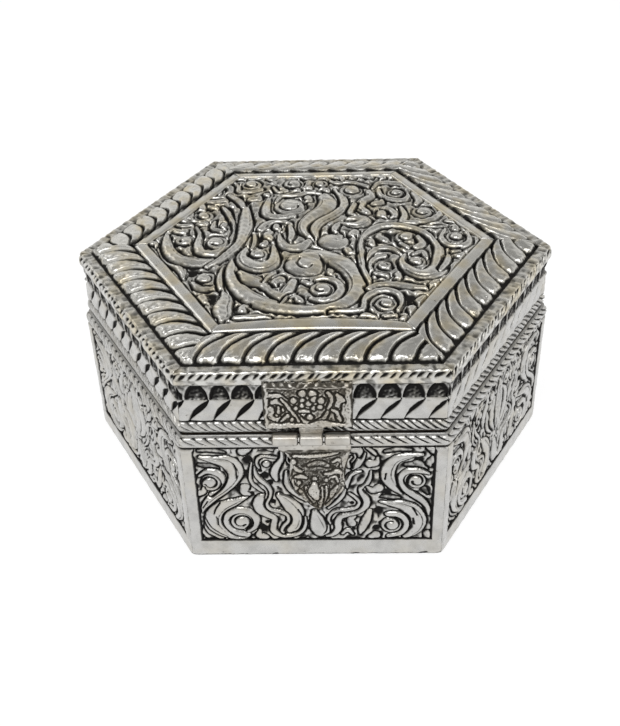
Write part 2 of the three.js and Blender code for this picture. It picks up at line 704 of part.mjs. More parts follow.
// Lid: frame strips and scroll panel
placeAround(lid, "frame_strip", "silver", () => mitred([
  [frameInner, centreBottom],
  [frameOuter, centreBottom],
  [frameOuter, slopeTop + FRAME_STAND],
  [frameInner, slopeTop + FRAME_STAND + FRAME_TILT],
]));
const lidOrnament = {
  across: scrollPanelOuter,
  up: scrollPanelOuter,
  scrollWidth: LID_SCROLL_WIDTH,
  bossRadius: LID_BOSS_RADIUS,
  relief: LID_SCROLL_RELIEF,
  root: SHEET_THICKNESS / 2,
  surface: (along, up, rise) => new THREE.Vector3(along, up, scrollGround + rise),
  scrollShares: [
    [[-0.48, -0.07, 0.4], [-0.54, -0.29, 0.9], [-0.515, -0.52, 1.2], [-0.39, -0.71, 1.5], [-0.17, -0.84, 1.4],
      [0.07, -0.845, 1.1], [0.235, -0.73, 1.2], [0.29, -0.565, 1.3], [0.25, -0.39, 1.5], [0.14, -0.245, 1.6],
      [-0.03, -0.17, 1.2]],
    [[-1, 0.13, 0.4], [-1.01, 0, 0.8], [-0.97, -0.14, 1], [-0.87, -0.24, 1.2], [-0.7, -0.26, 1.1],
      [-0.61, -0.21, 0.6]],
    [[-0.83, 0.22, 0.3], [-0.8, 0.06, 0.5], [-0.78, -0.1, 0.8], [-0.68, -0.145, 0.8], [-0.58, -0.03, 0.8],
      [-0.54, 0.17, 0.6], [-0.63, 0.41, 0.3]],
    [[-0.5, 0.56, 0.4], [-0.49, 0.34, 1], [-0.495, 0.11, 0.9], [-0.54, -0.08, 0.6], [-0.72, -0.325, 0.3]],
    [[-0.275, -0.045, 0.4], [-0.27, -0.22, 0.9], [-0.35, -0.325, 1.4], [-0.46, -0.24, 1.2],
      [-0.46, -0.095, 0.5]],
    [[0.37, -0.54, 0.4], [0.35, -0.34, 0.7], [0.325, -0.08, 0.6], [0.39, 0.135, 0.7], [0.6, 0.2, 0.8],
      [0.785, 0.08, 0.7], [0.86, -0.11, 0.8], [0.84, -0.31, 1.1], [0.74, -0.43, 1.1], [0.635, -0.31, 0.6],
      [0.64, -0.195, 0.3]],
    [[0.16, 0.77, 0.5], [0.22, 0.56, 0.8], [0.14, 0.375, 0.9], [0.02, 0.21, 0.8], [0.01, 0.055, 0.6],
      [0.03, -0.035, 0.4]],
    [[-0.02, 0.03, 0.4], [-0.08, 0.195, 0.8], [-0.02, 0.365, 1], [0.085, 0.505, 1.4], [0.085, 0.655, 1.2]],
    [[0.24, 0.3, 0.4], [0.35, 0.3, 1], [0.35, 0.49, 0.8], [0.42, 0.655, 0.7]],
    [[0.11, -0.885, 0.3], [0.31, -0.86, 0.5], [0.375, -0.69, 0.7], [0.54, -0.685, 0.8], [0.54, -0.86, 0.4]],
    [[0.63, 0.48, 0.4], [0.64, 0.27, 0.7], [0.83, 0.285, 0.7], [0.92, 0.45, 0.3]],
    [[-0.335, 0.63, 0.4], [-0.35, 0.42, 0.9], [-0.15, 0.375, 0.6]],
    [[0.48, 0.755, 0.4], [0.52, 0.62, 0.7], [0.7, 0.645, 0.4]],
    [[-0.585, -0.63, 0.3], [-0.57, -0.785, 1.2], [-0.565, -0.93, 0.4]],
  ],
  bossShares: [
    [-0.05, -0.31, 1], [0.06, -0.615, 0.6], [-0.68, 0.005, 0.52], [-0.375, -0.155, 0.46], [0.7, -0.285, 0.44],
    [0.65, 0.04, 0.56], [0.47, -0.34, 0.44], [0.465, -0.8, 0.5], [0.79, 0.4, 0.5], [-0.93, 0.45, 0.42],
    [-0.79, 0.4, 0.46], [-0.74, 0.77, 0.46], [-0.475, 0.87, 0.5], [-0.175, 0.515, 0.84], [-0.155, 0.87, 0.5],
    [0.275, 0.755, 0.6], [0.61, 0.7, 0.42], [0.14, 0, 0.76], [-0.715, -0.465, 0.56], [-0.9, 0.035, 0.5],
    [0.985, 0.04, 0.44],
  ],
};
function scrollPlate(top) {
  return hexagonal([
    [0, centreBottom],
    [scrollPanelOuter, centreBottom],
    [scrollPanelOuter, top],
    [0, top],
  ]);
}
const lidScrolls = scrollwork(lidOrnament).intersect(scrollPlate(scrollGround + LID_SCROLL_RELIEF + OVERRUN));
place(lid, "scroll_panel", scrollPlate(scrollGround).add(lidScrolls), "silver");

// Hinges: the leaves lie in the parting gap, and the barrels stand behind the box
function bore(x0, x1, y, z) {
  return rodAlongX(PIN_RADIUS + FIT, x0 - OVERRUN, x1 + OVERRUN, y, z);
}

function hingeLeaf(middle, leafBottomHeight, leafTopHeight, ownKnuckles) {
  const x0 = middle - HINGE_LENGTH / 2;
  const step = knuckleLength + FIT;
  let leaf = block(x0, x0 + HINGE_LENGTH, hingeLeafInner, barrelAxisOut, leafBottomHeight, leafTopHeight);
  for (let i = 0; i < HINGE_KNUCKLES; i += 1) {
    const start = x0 + i * step;
    if (ownKnuckles.includes(i)) {
      leaf = leaf.add(rodAlongX(
        BARREL_RADIUS,
        start,
        start + knuckleLength,
        barrelAxisOut,
        barrelAxisHeight,
      ));
    } else {
      leaf = leaf.subtract(rodAlongX(
        BARREL_RADIUS + FIT,
        start - FIT,
        start + knuckleLength + FIT,
        barrelAxisOut,
        barrelAxisHeight,
      ));
    }
  }
  leaf = leaf.subtract(bore(x0, x0 + HINGE_LENGTH, barrelAxisOut, barrelAxisHeight));
  for (const x of hingeNailXs(middle)) {
    leaf = leaf.subtract(rodAlongZ(
      NAIL_HEAD_RADIUS + FIT,
      x,
      hingeNailOut,
      leafBottomHeight - OVERRUN,
      leafTopHeight + OVERRUN,
    ));
  }
  return leaf;
}

function hingeNail(x, headEnd, direction) {
  const head = headEnd + direction * LEAF_THICKNESS;
  const tip = headEnd + direction * NAIL_LENGTH;
  return join(
    rodAlongZ(NAIL_HEAD_RADIUS, x, hingeNailOut, Math.min(headEnd, head), Math.max(headEnd, head)),
    rodAlongZ(NAIL_RADIUS, x, hingeNailOut, Math.min(headEnd, tip), Math.max(headEnd, tip)),
  );
}

["right", "left"].forEach((hand, i) => {
  const middle = -hingeMiddles[i];
  const x0 = middle - HINGE_LENGTH / 2;
  place(base, `hinge_lower_leaf_${hand}`, hingeLeaf(middle, lowerLeafBottom, lowerLeafTop, [0, 2]), "steel");
  place(lid, `hinge_upper_leaf_${hand}`, hingeLeaf(middle, upperLeafBottom, upperLeafTop, [1]), "steel");
  const pin = rodAlongX(PIN_RADIUS, x0, x0 + HINGE_LENGTH, barrelAxisOut, barrelAxisHeight);
  place(base, `hinge_pin_${hand}`, pin, "steel");
  hingeNailXs(middle).forEach((x, n) => {
    place(base, `hinge_lower_nail_${hand}_${n + 1}`, hingeNail(x, lowerLeafTop, -1), "steel");
    place(lid, `hinge_upper_nail_${hand}_${n + 1}`, hingeNail(x, upperLeafBottom, 1), "steel");
  });
});

// Clasp plate on the lid, with its tongue down to the middle knuckle
const claspStart = CLASP_OFFSET - CLASP_LENGTH / 2;
const plateGround = plateFace - PLATE_SINK;
const berryOrnament = {
  across: PLATE_WIDTH / 2,
  up: PLATE_HEIGHT / 2,
  bossRadius: BERRY_RADIUS,
  relief: BERRY_RELIEF,
  root: PLATE_SINK / 2,
  surface: (along, up, rise) => new THREE.Vector3(
    PLATE_OFFSET + along,
    -plateGround - rise,
    (plateBottom + plateTop) / 2 + up,
  ),
  scrollShares: [],
  bossShares: [
    [-0.14, 0.5, 1], [0.14, 0.5, 1], [-0.3, 0.15, 1], [0, 0.1, 1], [0.3, 0.15, 1], [-0.15, -0.25, 1],
    [0.15, -0.25, 1],
  ],
};
const tongueStart = CLASP_OFFSET - TONGUE_WIDTH / 2;
const claspBore = bore(claspStart, claspStart + CLASP_LENGTH, -barrelAxisOut, claspAxisHeight);
function claspPlate() {
  const x0 = PLATE_OFFSET - PLATE_WIDTH / 2;
  const x1 = x0 + PLATE_WIDTH;
  const plate = block(x0, x1, -plateFace, -plateBack, plateBottom, plateTop);
  const sunk = block(
    x0 + PLATE_RIM,
    x1 - PLATE_RIM,
    -plateFace - OVERRUN,
    PLATE_SINK - plateFace,
    plateBottom + PLATE_RIM,
    plateTop - PLATE_RIM,
  );
  const tongue = block(
    tongueStart,
    tongueStart + TONGUE_WIDTH,
    -plateFace,
    -plateBack,
    claspAxisHeight,
    plateBottom + FIT,
  );
  const knuckle = rodAlongX(
    BARREL_RADIUS,
    tongueStart,
    tongueStart + TONGUE_WIDTH,
    -barrelAxisOut,
    claspAxisHeight,
  );
  const pegs = pegXs.map((x) => rodAlongY(PEG_RADIUS, x, FIT - plateFace, -pegEnd, pegHeight));
  return join(cut(plate, sunk), tongue, knuckle, scrollwork(berryOrnament), ...pegs).subtract(claspBore);
}
place(lid, "clasp_plate", claspPlate(), "castSilver");
place(lid, "clasp_pin", rodAlongX(
  PIN_RADIUS,
  claspStart,
  claspStart + CLASP_LENGTH,
  -barrelAxisOut,
  claspAxisHeight,
), "steel");

// Hasp: a shield cut from a curved sheet, with two knuckles and a raised palmette
const haspHalfWidth = HASP_WIDTH / 2;
const haspOutlineShares = [
  [-1.3, 0],
  [1.3, 0],
  [1.3, 0.14],
  [1, 0.28],
  [0.94, 0.5],
  [1, 0.62],
  [0.84, 0.8],
  [0.4, 0.94],
  [0.1, 1],
  [-0.1, 1],
  [-0.4, 0.94],
  [-0.84, 0.8],
  [-1, 0.62],
  [-0.94, 0.5],
  [-1, 0.28],
  [-1.3, 0.14],
];
function haspSheet() {
  const flareStart = claspAxisHeight - HASP_LENGTH * HASP_BEND_SHARE;
  const profile = [
    [-haspBack, claspAxisHeight],
    [-haspBack, flareStart],
    [-haspBack - HASP_TIP_FLARE, haspTip - OVERRUN],
    [-haspFace - HASP_TIP_FLARE, haspTip - OVERRUN],
    [-haspFace, flareStart],
    [-haspFace, claspAxisHeight],
  ];
  const side = new THREE.Shape(profile.map(([y, z]) => new THREE.Vector2(y, z)));
  const geometry = new THREE.ExtrudeGeometry(side, { depth: CLASP_LENGTH, bevelEnabled: false });
  geometry.rotateY(Math.PI / 2);
  geometry.rotateX(Math.PI / 2);
  geometry.translate(claspStart, 0, 0);
  return solidOf(geometry);
}

function haspShield() {
  const shield = new THREE.Shape(haspOutlineShares.map(([across, down]) => new THREE.Vector2(
    HASP_OFFSET + across * haspHalfWidth,
    claspAxisHeight - down * HASP_LENGTH,
  )));
  const depth = HASP_TIP_FLARE + HASP_THICKNESS + 2 * OVERRUN;
  const geometry = new THREE.ExtrudeGeometry(shield, { depth, bevelEnabled: false });
  geometry.rotateX(Math.PI / 2);
  geometry.translate(0, OVERRUN - haspBack, 0);
  return solidOf(geometry);
}
// The palmette's petals fan out from the tip, over the flared half of the shield
const haspFlareHeight = HASP_LENGTH * (1 - HASP_BEND_SHARE);
const palmetteOrnament = {
  across: haspHalfWidth,
  up: haspFlareHeight,
  scrollWidth: PETAL_WIDTH,
  relief: PETAL_RELIEF,
  root: HASP_THICKNESS / 2,
  surface: (along, up, rise) => new THREE.Vector3(
    HASP_OFFSET + along,
    -haspFace - HASP_TIP_FLARE * (1 - up / haspFlareHeight) - rise,
    haspTip + up,
  ),
  scrollShares: [
    [[0, 0.16, 0.3], [0, 0.45, 1], [0, 0.75, 0.4]],
    [[-0.12, 0.18, 0.3], [-0.34, 0.45, 1], [-0.42, 0.72, 0.4]],
    [[0.12, 0.18, 0.3], [0.34, 0.45, 1], [0.42, 0.72, 0.4]],
    [[-0.24, 0.24, 0.3], [-0.6, 0.5, 0.7], [-0.72, 0.75, 0.3]],
    [[0.24, 0.24, 0.3], [0.6, 0.5, 0.7], [0.72, 0.75, 0.3]],
  ],
  bossShares: [],
};
const outerKnuckle = (CLASP_LENGTH - TONGUE_WIDTH) / 2 - FIT;
function haspSolid() {
  const body = haspSheet().intersect(haspShield()).add(scrollwork(palmetteOrnament));
  const y = -barrelAxisOut;
  const leftKnuckle = rodAlongX(BARREL_RADIUS, claspStart, claspStart + outerKnuckle, y, claspAxisHeight);
  const rightKnuckle = rodAlongX(
    BARREL_RADIUS,
    claspStart + CLASP_LENGTH - outerKnuckle,
    claspStart + CLASP_LENGTH,
    y,
    claspAxisHeight,
  );
  const tongueRoom = rodAlongX(
    BARREL_RADIUS + FIT,
    tongueStart - FIT,
    tongueStart + TONGUE_WIDTH + FIT,
    y,
    claspAxisHeight,
  );
  return cut(join(body, leftKnuckle, rightKnuckle), tongueRoom, claspBore);
}
place(hasp, "hasp", haspSolid(), "castSilver");

export default box;
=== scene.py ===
"""A hexagonal keepsake box in embossed, oxidised white metal, on a pale studio floor.

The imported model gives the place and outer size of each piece. Each embossed sheet is a height field drawn
with strokes: ribbons, volutes, beads and engraved lines, laid over the sheet that it stands for. Lengths are
in millimetres, and the meshes, the floor and the lamps are in metres.
"""
import math

import bpy
import numpy as np
from mathutils import Matrix, Vector

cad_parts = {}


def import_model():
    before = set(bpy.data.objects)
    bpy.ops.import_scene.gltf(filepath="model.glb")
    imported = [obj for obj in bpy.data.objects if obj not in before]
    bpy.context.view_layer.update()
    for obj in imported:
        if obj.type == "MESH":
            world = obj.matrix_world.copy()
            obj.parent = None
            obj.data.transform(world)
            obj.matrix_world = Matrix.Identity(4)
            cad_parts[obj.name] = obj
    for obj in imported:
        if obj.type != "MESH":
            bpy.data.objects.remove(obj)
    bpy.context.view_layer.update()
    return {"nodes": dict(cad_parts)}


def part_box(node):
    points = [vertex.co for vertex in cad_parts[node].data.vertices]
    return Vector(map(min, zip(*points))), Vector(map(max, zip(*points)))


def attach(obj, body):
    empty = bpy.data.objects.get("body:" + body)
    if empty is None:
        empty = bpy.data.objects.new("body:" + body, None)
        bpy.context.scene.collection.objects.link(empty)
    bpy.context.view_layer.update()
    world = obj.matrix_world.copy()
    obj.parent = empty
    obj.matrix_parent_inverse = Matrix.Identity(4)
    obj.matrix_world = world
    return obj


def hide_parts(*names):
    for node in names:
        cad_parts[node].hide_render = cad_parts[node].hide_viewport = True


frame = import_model()

MM = 0.001
SIDES = ["front", "front_right", "back_right", "back", "back_left", "front_left"]
SIXTH_TURN = math.radians(60)
HALF_SIDE = math.radians(30)
TAN30, COS30 = math.tan(HALF_SIDE), math.cos(HALF_SIDE)


def node_box(name):
    """A node's lowest and highest corners in millimetres"""
    return [np.array(corner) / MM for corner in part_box(name)]


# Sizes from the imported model
side_low, side_high = node_box("side_sheet_front")
skirt_low, skirt_high = node_box("skirt_sheet_front")
strip_low, strip_high = node_box("frame_strip_front")
plate_low, plate_high = node_box("clasp_plate")
pin_low, pin_high = node_box("clasp_pin")
hasp_low, hasp_high = node_box("hasp")
BASE_OUT = -side_low[1]
SKIRT_OUT = -skirt_low[1]
LIP_OUT = -node_box("lid_cap")[0][1]
FRAME_OUT, FRAME_IN = -strip_low[1], -strip_high[1]
PANEL_OUT = -node_box("scroll_panel")[0][1]
RIM_TOP = side_high[2]


def add_object(name, data):
    """A new object in the scene"""
    added = bpy.data.objects.new(name, data)
    bpy.context.scene.collection.objects.link(added)
    return added


# Camera, fitted to the photograph's own hexagons
IMAGE = (620, 726)
CAMERA_PLACE = (4.8, -230.4, 188.9)
CAMERA_PITCH, CAMERA_YAW, CAMERA_ROLL = 36.33, -2.15, -1.99
FOCAL_PIXELS = 1064.6
PRINCIPAL_POINT = (302.0, 362.6)
SENSOR = 36.0


def add_camera():
    pitch, yaw, roll = (math.radians(a) for a in (CAMERA_PITCH, CAMERA_YAW, CAMERA_ROLL))
    ahead = np.array([math.sin(yaw) * math.cos(pitch), math.cos(yaw) * math.cos(pitch), -math.sin(pitch)])
    level = np.array([math.cos(yaw), -math.sin(yaw), 0.0])
    upright = np.cross(level, ahead)
    right = level * math.cos(roll) + upright * math.sin(roll)
    up = upright * math.cos(roll) - level * math.sin(roll)
    data = bpy.data.cameras.new("camera")
    data.sensor_fit = "VERTICAL"
    data.sensor_height = SENSOR
    data.lens = FOCAL_PIXELS / IMAGE[1] * SENSOR
    data.shift_x = (IMAGE[0] / 2 - PRINCIPAL_POINT[0]) / IMAGE[1]
    data.shift_y = (PRINCIPAL_POINT[1] - IMAGE[1] / 2) / IMAGE[1]
    data.clip_start = 0.01
    camera = add_object("camera", data)
    matrix = np.eye(4)
    matrix[:3, 0], matrix[:3, 1], matrix[:3, 2] = right, up, -ahead
    matrix[:3, 3] = np.array(CAMERA_PLACE) * MM
    camera.matrix_world = Matrix([list(row) for row in matrix])
    bpy.context.scene.camera = camera


add_camera()


# Materials
class Nodes:
    """The node tree of a material or a world, with short calls for nodes and links"""

    def __init__(self, owner):
        self.owner = owner
        owner.use_nodes = True
        self.tree = owner.node_tree
        self.tree.nodes.clear()

    def put(self, value, socket):
        """Links an output to a socket, or sets the socket to a number, a vector or a colour"""
        if isinstance(value, bpy.types.NodeSocket):
            self.tree.links.new(value, socket)
        elif socket.type == "RGBA":
            socket.default_value = (*value, 1)
        else:
            socket.default_value = value

    def add(self, kind, *values, **named):
        """A new shader node, with values for its inputs in their order or by name"""
        node = self.tree.nodes.new("ShaderNode" + kind)
        for value, socket in zip(values, node.inputs):
            self.put(value, socket)
        for name, value in named.items():
            self.put(value, node.inputs[name.replace("_", " ")])
        return node

    def attribute(self, name):
        node = self.add("Attribute")
        node.attribute_name = name
        return node.outputs["Fac"]

    def noise(self, size, detail=4.0, roughness=0.5, stretch=None, distortion=0.0):
        """Noise with lumps of a size in millimetres, packed closer along the axes by the stretch"""
        vector = self.add("TexCoord").outputs["Object"]
        if stretch:
            vector = self.add("Mapping", Vector=vector, Scale=stretch).outputs[0]
        node = self.add("TexNoise", Vector=vector, Scale=1 / size / MM, Detail=detail, Roughness=roughness,
                        Distortion=distortion)
        return node.outputs["Fac"]

    def ramp(self, fac, *stops):
        """A colour ramp through stops of (place, colour or grey)"""
        node = self.add("ValToRGB", Fac=fac)
        elements = node.color_ramp.elements
        while len(elements) < len(stops):
            elements.new(stops[len(elements) - 1][0])
        for element, (spot, color) in zip(elements, stops):
            element.position = spot
            element.color = (*color, 1) if isinstance(color, tuple) else (color, color, color, 1)
        return node.outputs["Color"]

    def math(self, operation, a, b):
        node = self.add("Math", a, b)
        node.operation = operation
        return node.outputs[0]

    def mix(self, fac, a, b, blend="MIX"):
        node = self.add("Mix")
        node.data_type = "RGBA"
        node.blend_type = blend
        # the sockets for colours, which stand among those for numbers and vectors
        for value, place_in_list in ((fac, 0), (a, 6), (b, 7)):
            self.put(value, node.inputs[place_in_list])
        return node.outputs[2]

    def bump(self, *layers):
        """A normal from layers of (height, strength, distance in millimetres)"""
        before = {}
        for height, strength, distance in layers:
            node = self.add("Bump", Strength=strength, Distance=distance * MM, Height=height, **before)
            before = {"Normal": node.outputs[0]}
        return node.outputs[0]

    def surface(self, **values):
        """Ends a material with a shader of these values, and returns the material"""
        shader = self.add("BsdfPrincipled", **values)
        self.add("OutputMaterial", Surface=shader.outputs[0])
        return self.owner

    def for_ray(self, plain, seen):
        """Plain light for the object, and the pale background for camera, glossy and clear rays"""
        rays = self.add("LightPath").outputs
        either = self.math("MAXIMUM", rays["Is Camera Ray"], rays["Is Glossy Ray"])
        either = self.math("MAXIMUM", either, rays["Is Transmission Ray"])
        return self.add("MixShader", either, plain.outputs[0], seen.outputs[0]).outputs[0]


def new_material(name):
    return Nodes(bpy.data.materials.new(name))


def white_metal(name, bright, warm_tone_and_reflection, oxide, rough, worn):
    """Embossed metal: polished where the wear attribute is high, black oxide where it is low"""
    m = new_material(name)
    patchy = m.noise(6, detail=3)
    fine = m.noise(0.5, detail=5, roughness=0.65)
    stain = m.noise(3.4, detail=5, roughness=0.6)
    marks = m.noise(1.5, detail=6, roughness=0.7, distortion=0.4)
    scratch = m.noise(0.35, detail=3, stretch=(1, 1, 6))
    # wear, made uneven by fine noise and broken by tarnish marks
    wear = m.math("ADD", m.attribute("wear"), m.math("MULTIPLY", m.math("SUBTRACT", fine, 0.5), worn))
    wear = m.math("SUBTRACT", wear, m.ramp(marks, (0.61, 0.0), (0.74, 0.55)))
    # colour, from oxide through a dull middle tone to bright metal
    # patches of a warm tone: partly the metal's own tint, partly painted reflection of warm surroundings
    tone = m.mix(m.ramp(patchy, (0.46, 0.0), (0.70, 1.0)), bright, warm_tone_and_reflection)
    tone = m.mix(1.0, tone, m.ramp(stain, (0.36, 0.84), (0.56, 1.0)), "MULTIPLY")
    middle = tuple(0.42 * c for c in bright)
    shade = m.ramp(wear, (0.0, oxide), (0.28, oxide), (0.52, middle), (0.78, (1.0, 1.0, 1.0)))
    gloss = m.math("ADD", m.math("MULTIPLY", scratch, 0.16), m.math("MULTIPLY", patchy, 0.12))
    return m.surface(
        Base_Color=m.mix(1.0, tone, shade, "MULTIPLY"),
        Metallic=m.ramp(wear, (0.2, 0.1), (0.6, 1.0)),
        Roughness=m.math("ADD", gloss, m.ramp(wear, (0.25, 0.55), (0.75, rough))),
        Specular_IOR_Level=0.2,
        Normal=m.bump((m.noise(2.2, detail=2), 0.35, 0.12), (fine, 0.25, 0.014)))


def plain_metal():
    m = new_material("plated_steel")
    fine = m.noise(0.3, detail=4, stretch=(8, 1, 1))
    return m.surface(
        Base_Color=m.ramp(m.noise(3, detail=4), (0.35, (0.42, 0.40, 0.37)), (0.6, (0.72, 0.71, 0.69))),
        Metallic=1.0,
        Roughness=m.ramp(fine, (0.3, 0.2), (0.7, 0.42)),
        Normal=m.bump((fine, 0.3, 0.02)))


def wood():
    m = new_material("core_wood")
    rings = m.noise(5, detail=4, stretch=(0.25, 0.25, 2.2), distortion=0.6)
    pores = m.noise(0.4, detail=3, stretch=(0.2, 0.2, 3))
    late, middle, early = (0.30, 0.17, 0.085), (0.50, 0.32, 0.175), (0.58, 0.40, 0.235)
    grain = m.ramp(rings, (0.32, late), (0.52, middle), (0.72, early))
    return m.surface(
        Base_Color=m.mix(m.ramp(pores, (0.35, 0.45), (0.5, 0.0)), grain, (0.2, 0.11, 0.055)),
        Roughness=0.72,
        Normal=m.bump((pores, 0.4, 0.08), (rings, 0.2, 0.1)))


def velvet():
    m = new_material("dark_red_velvet")
    crush = m.noise(7, detail=3, distortion=0.8)
    pile = m.noise(0.18, detail=2)
    tone = m.ramp(crush, (0.3, (0.055, 0.004, 0.008)), (0.7, (0.15, 0.012, 0.022)))
    return m.surface(
        Base_Color=m.mix(m.ramp(pile, (0.3, 0.5), (0.7, 0.0)), tone, (0.03, 0.002, 0.004)),
        Roughness=0.95, Sheen_Weight=0.9, Sheen_Roughness=0.35, Sheen_Tint=(0.75, 0.16, 0.2),
        Normal=m.bump((pile, 0.7, 0.12), (crush, 0.4, 0.4)))


def felt():
    m = new_material("black_felt")
    fibre = m.noise(0.3, detail=5, roughness=0.7)
    return m.surface(Base_Color=m.ramp(fibre, (0.3, 0.012), (0.75, 0.05)), Roughness=1.0, Sheen_Weight=0.3,
                     Normal=m.bump((fibre, 0.8, 0.15)))


# The sides' and skirt's metal is a darker copy of the lid's: painted shade on the side faces
SHADED_SIDE_METAL = dict(slot="embossed_metal", material=white_metal(
    "white_metal_sides_shaded", bright=(0.545, 0.540, 0.526), warm_tone_and_reflection=(0.550, 0.530, 0.485),
    oxide=(0.010, 0.009, 0.009), rough=0.14, worn=0.24))
LID_METAL = dict(slot="embossed_metal", material=white_metal(
    "white_metal_lid", bright=(0.640, 0.632, 0.605), warm_tone_and_reflection=(0.620, 0.560, 0.430),
    oxide=(0.010, 0.009, 0.008), rough=0.14, worn=0.24))
CAST_METAL = dict(slot="cast_metal", material=white_metal(
    "cast_white_metal", bright=(0.580, 0.562, 0.525), warm_tone_and_reflection=(0.490, 0.450, 0.385),
    oxide=(0.105, 0.097, 0.084), rough=0.26, worn=0.40))
STEEL = plain_metal()
HINGE_METAL = dict(slot="hinge_metal", material=STEEL)


# Height fields drawn with strokes
def smoothstep(t):
    t = np.clip(t, 0, 1)
    return t * t * (3 - 2 * t)


def bell(t):
    """1 at 0, and less than a fiftieth beyond 2 to either side"""
    return np.exp(-(t**2))


def grid_of(columns, rows, low, high, across=1.0):
    """Two grids: values from -across to across along each row, and from low to high up the rows"""
    return np.meshgrid(np.linspace(-across, across, columns), np.linspace(low, high, rows))


def smooth_curve(points, step=0.12):
    """Samples of a smooth curve through points of (x, y, half width)"""
    p = np.array(points, float)
    p = np.vstack([2 * p[0] - p[1], p, 2 * p[-1] - p[-2]])
    runs = []
    for a, b, c, d in zip(p[:-3], p[1:-2], p[2:-1], p[3:]):
        t = np.linspace(0, 1, max(2, int(np.hypot(*(c - b)[:2]) / step)), endpoint=False)[:, None]
        square, cube = 2 * a - 5 * b + 4 * c - d, 3 * b - a - 3 * c + d
        runs.append(0.5 * (2 * b + (c - a) * t + square * t**2 + cube * t**3))
    return np.vstack(runs + [p[-2:-1]])


def lumps(x, y, size, seed):
    """A smooth random height, mostly between -1 and 1, with features of the given size"""
    waves = 14
    rng = np.random.default_rng(seed)
    total = np.zeros(x.shape)
    for _ in range(waves):
        angle, phase = rng.uniform(0, 2 * math.pi, 2)
        wave = 2 * math.pi / size / rng.uniform(0.7, 1.6)
        total += np.sin(wave * (x * math.cos(angle) + y * math.sin(angle)) + phase)
    return total / waves**0.5 / 1.4


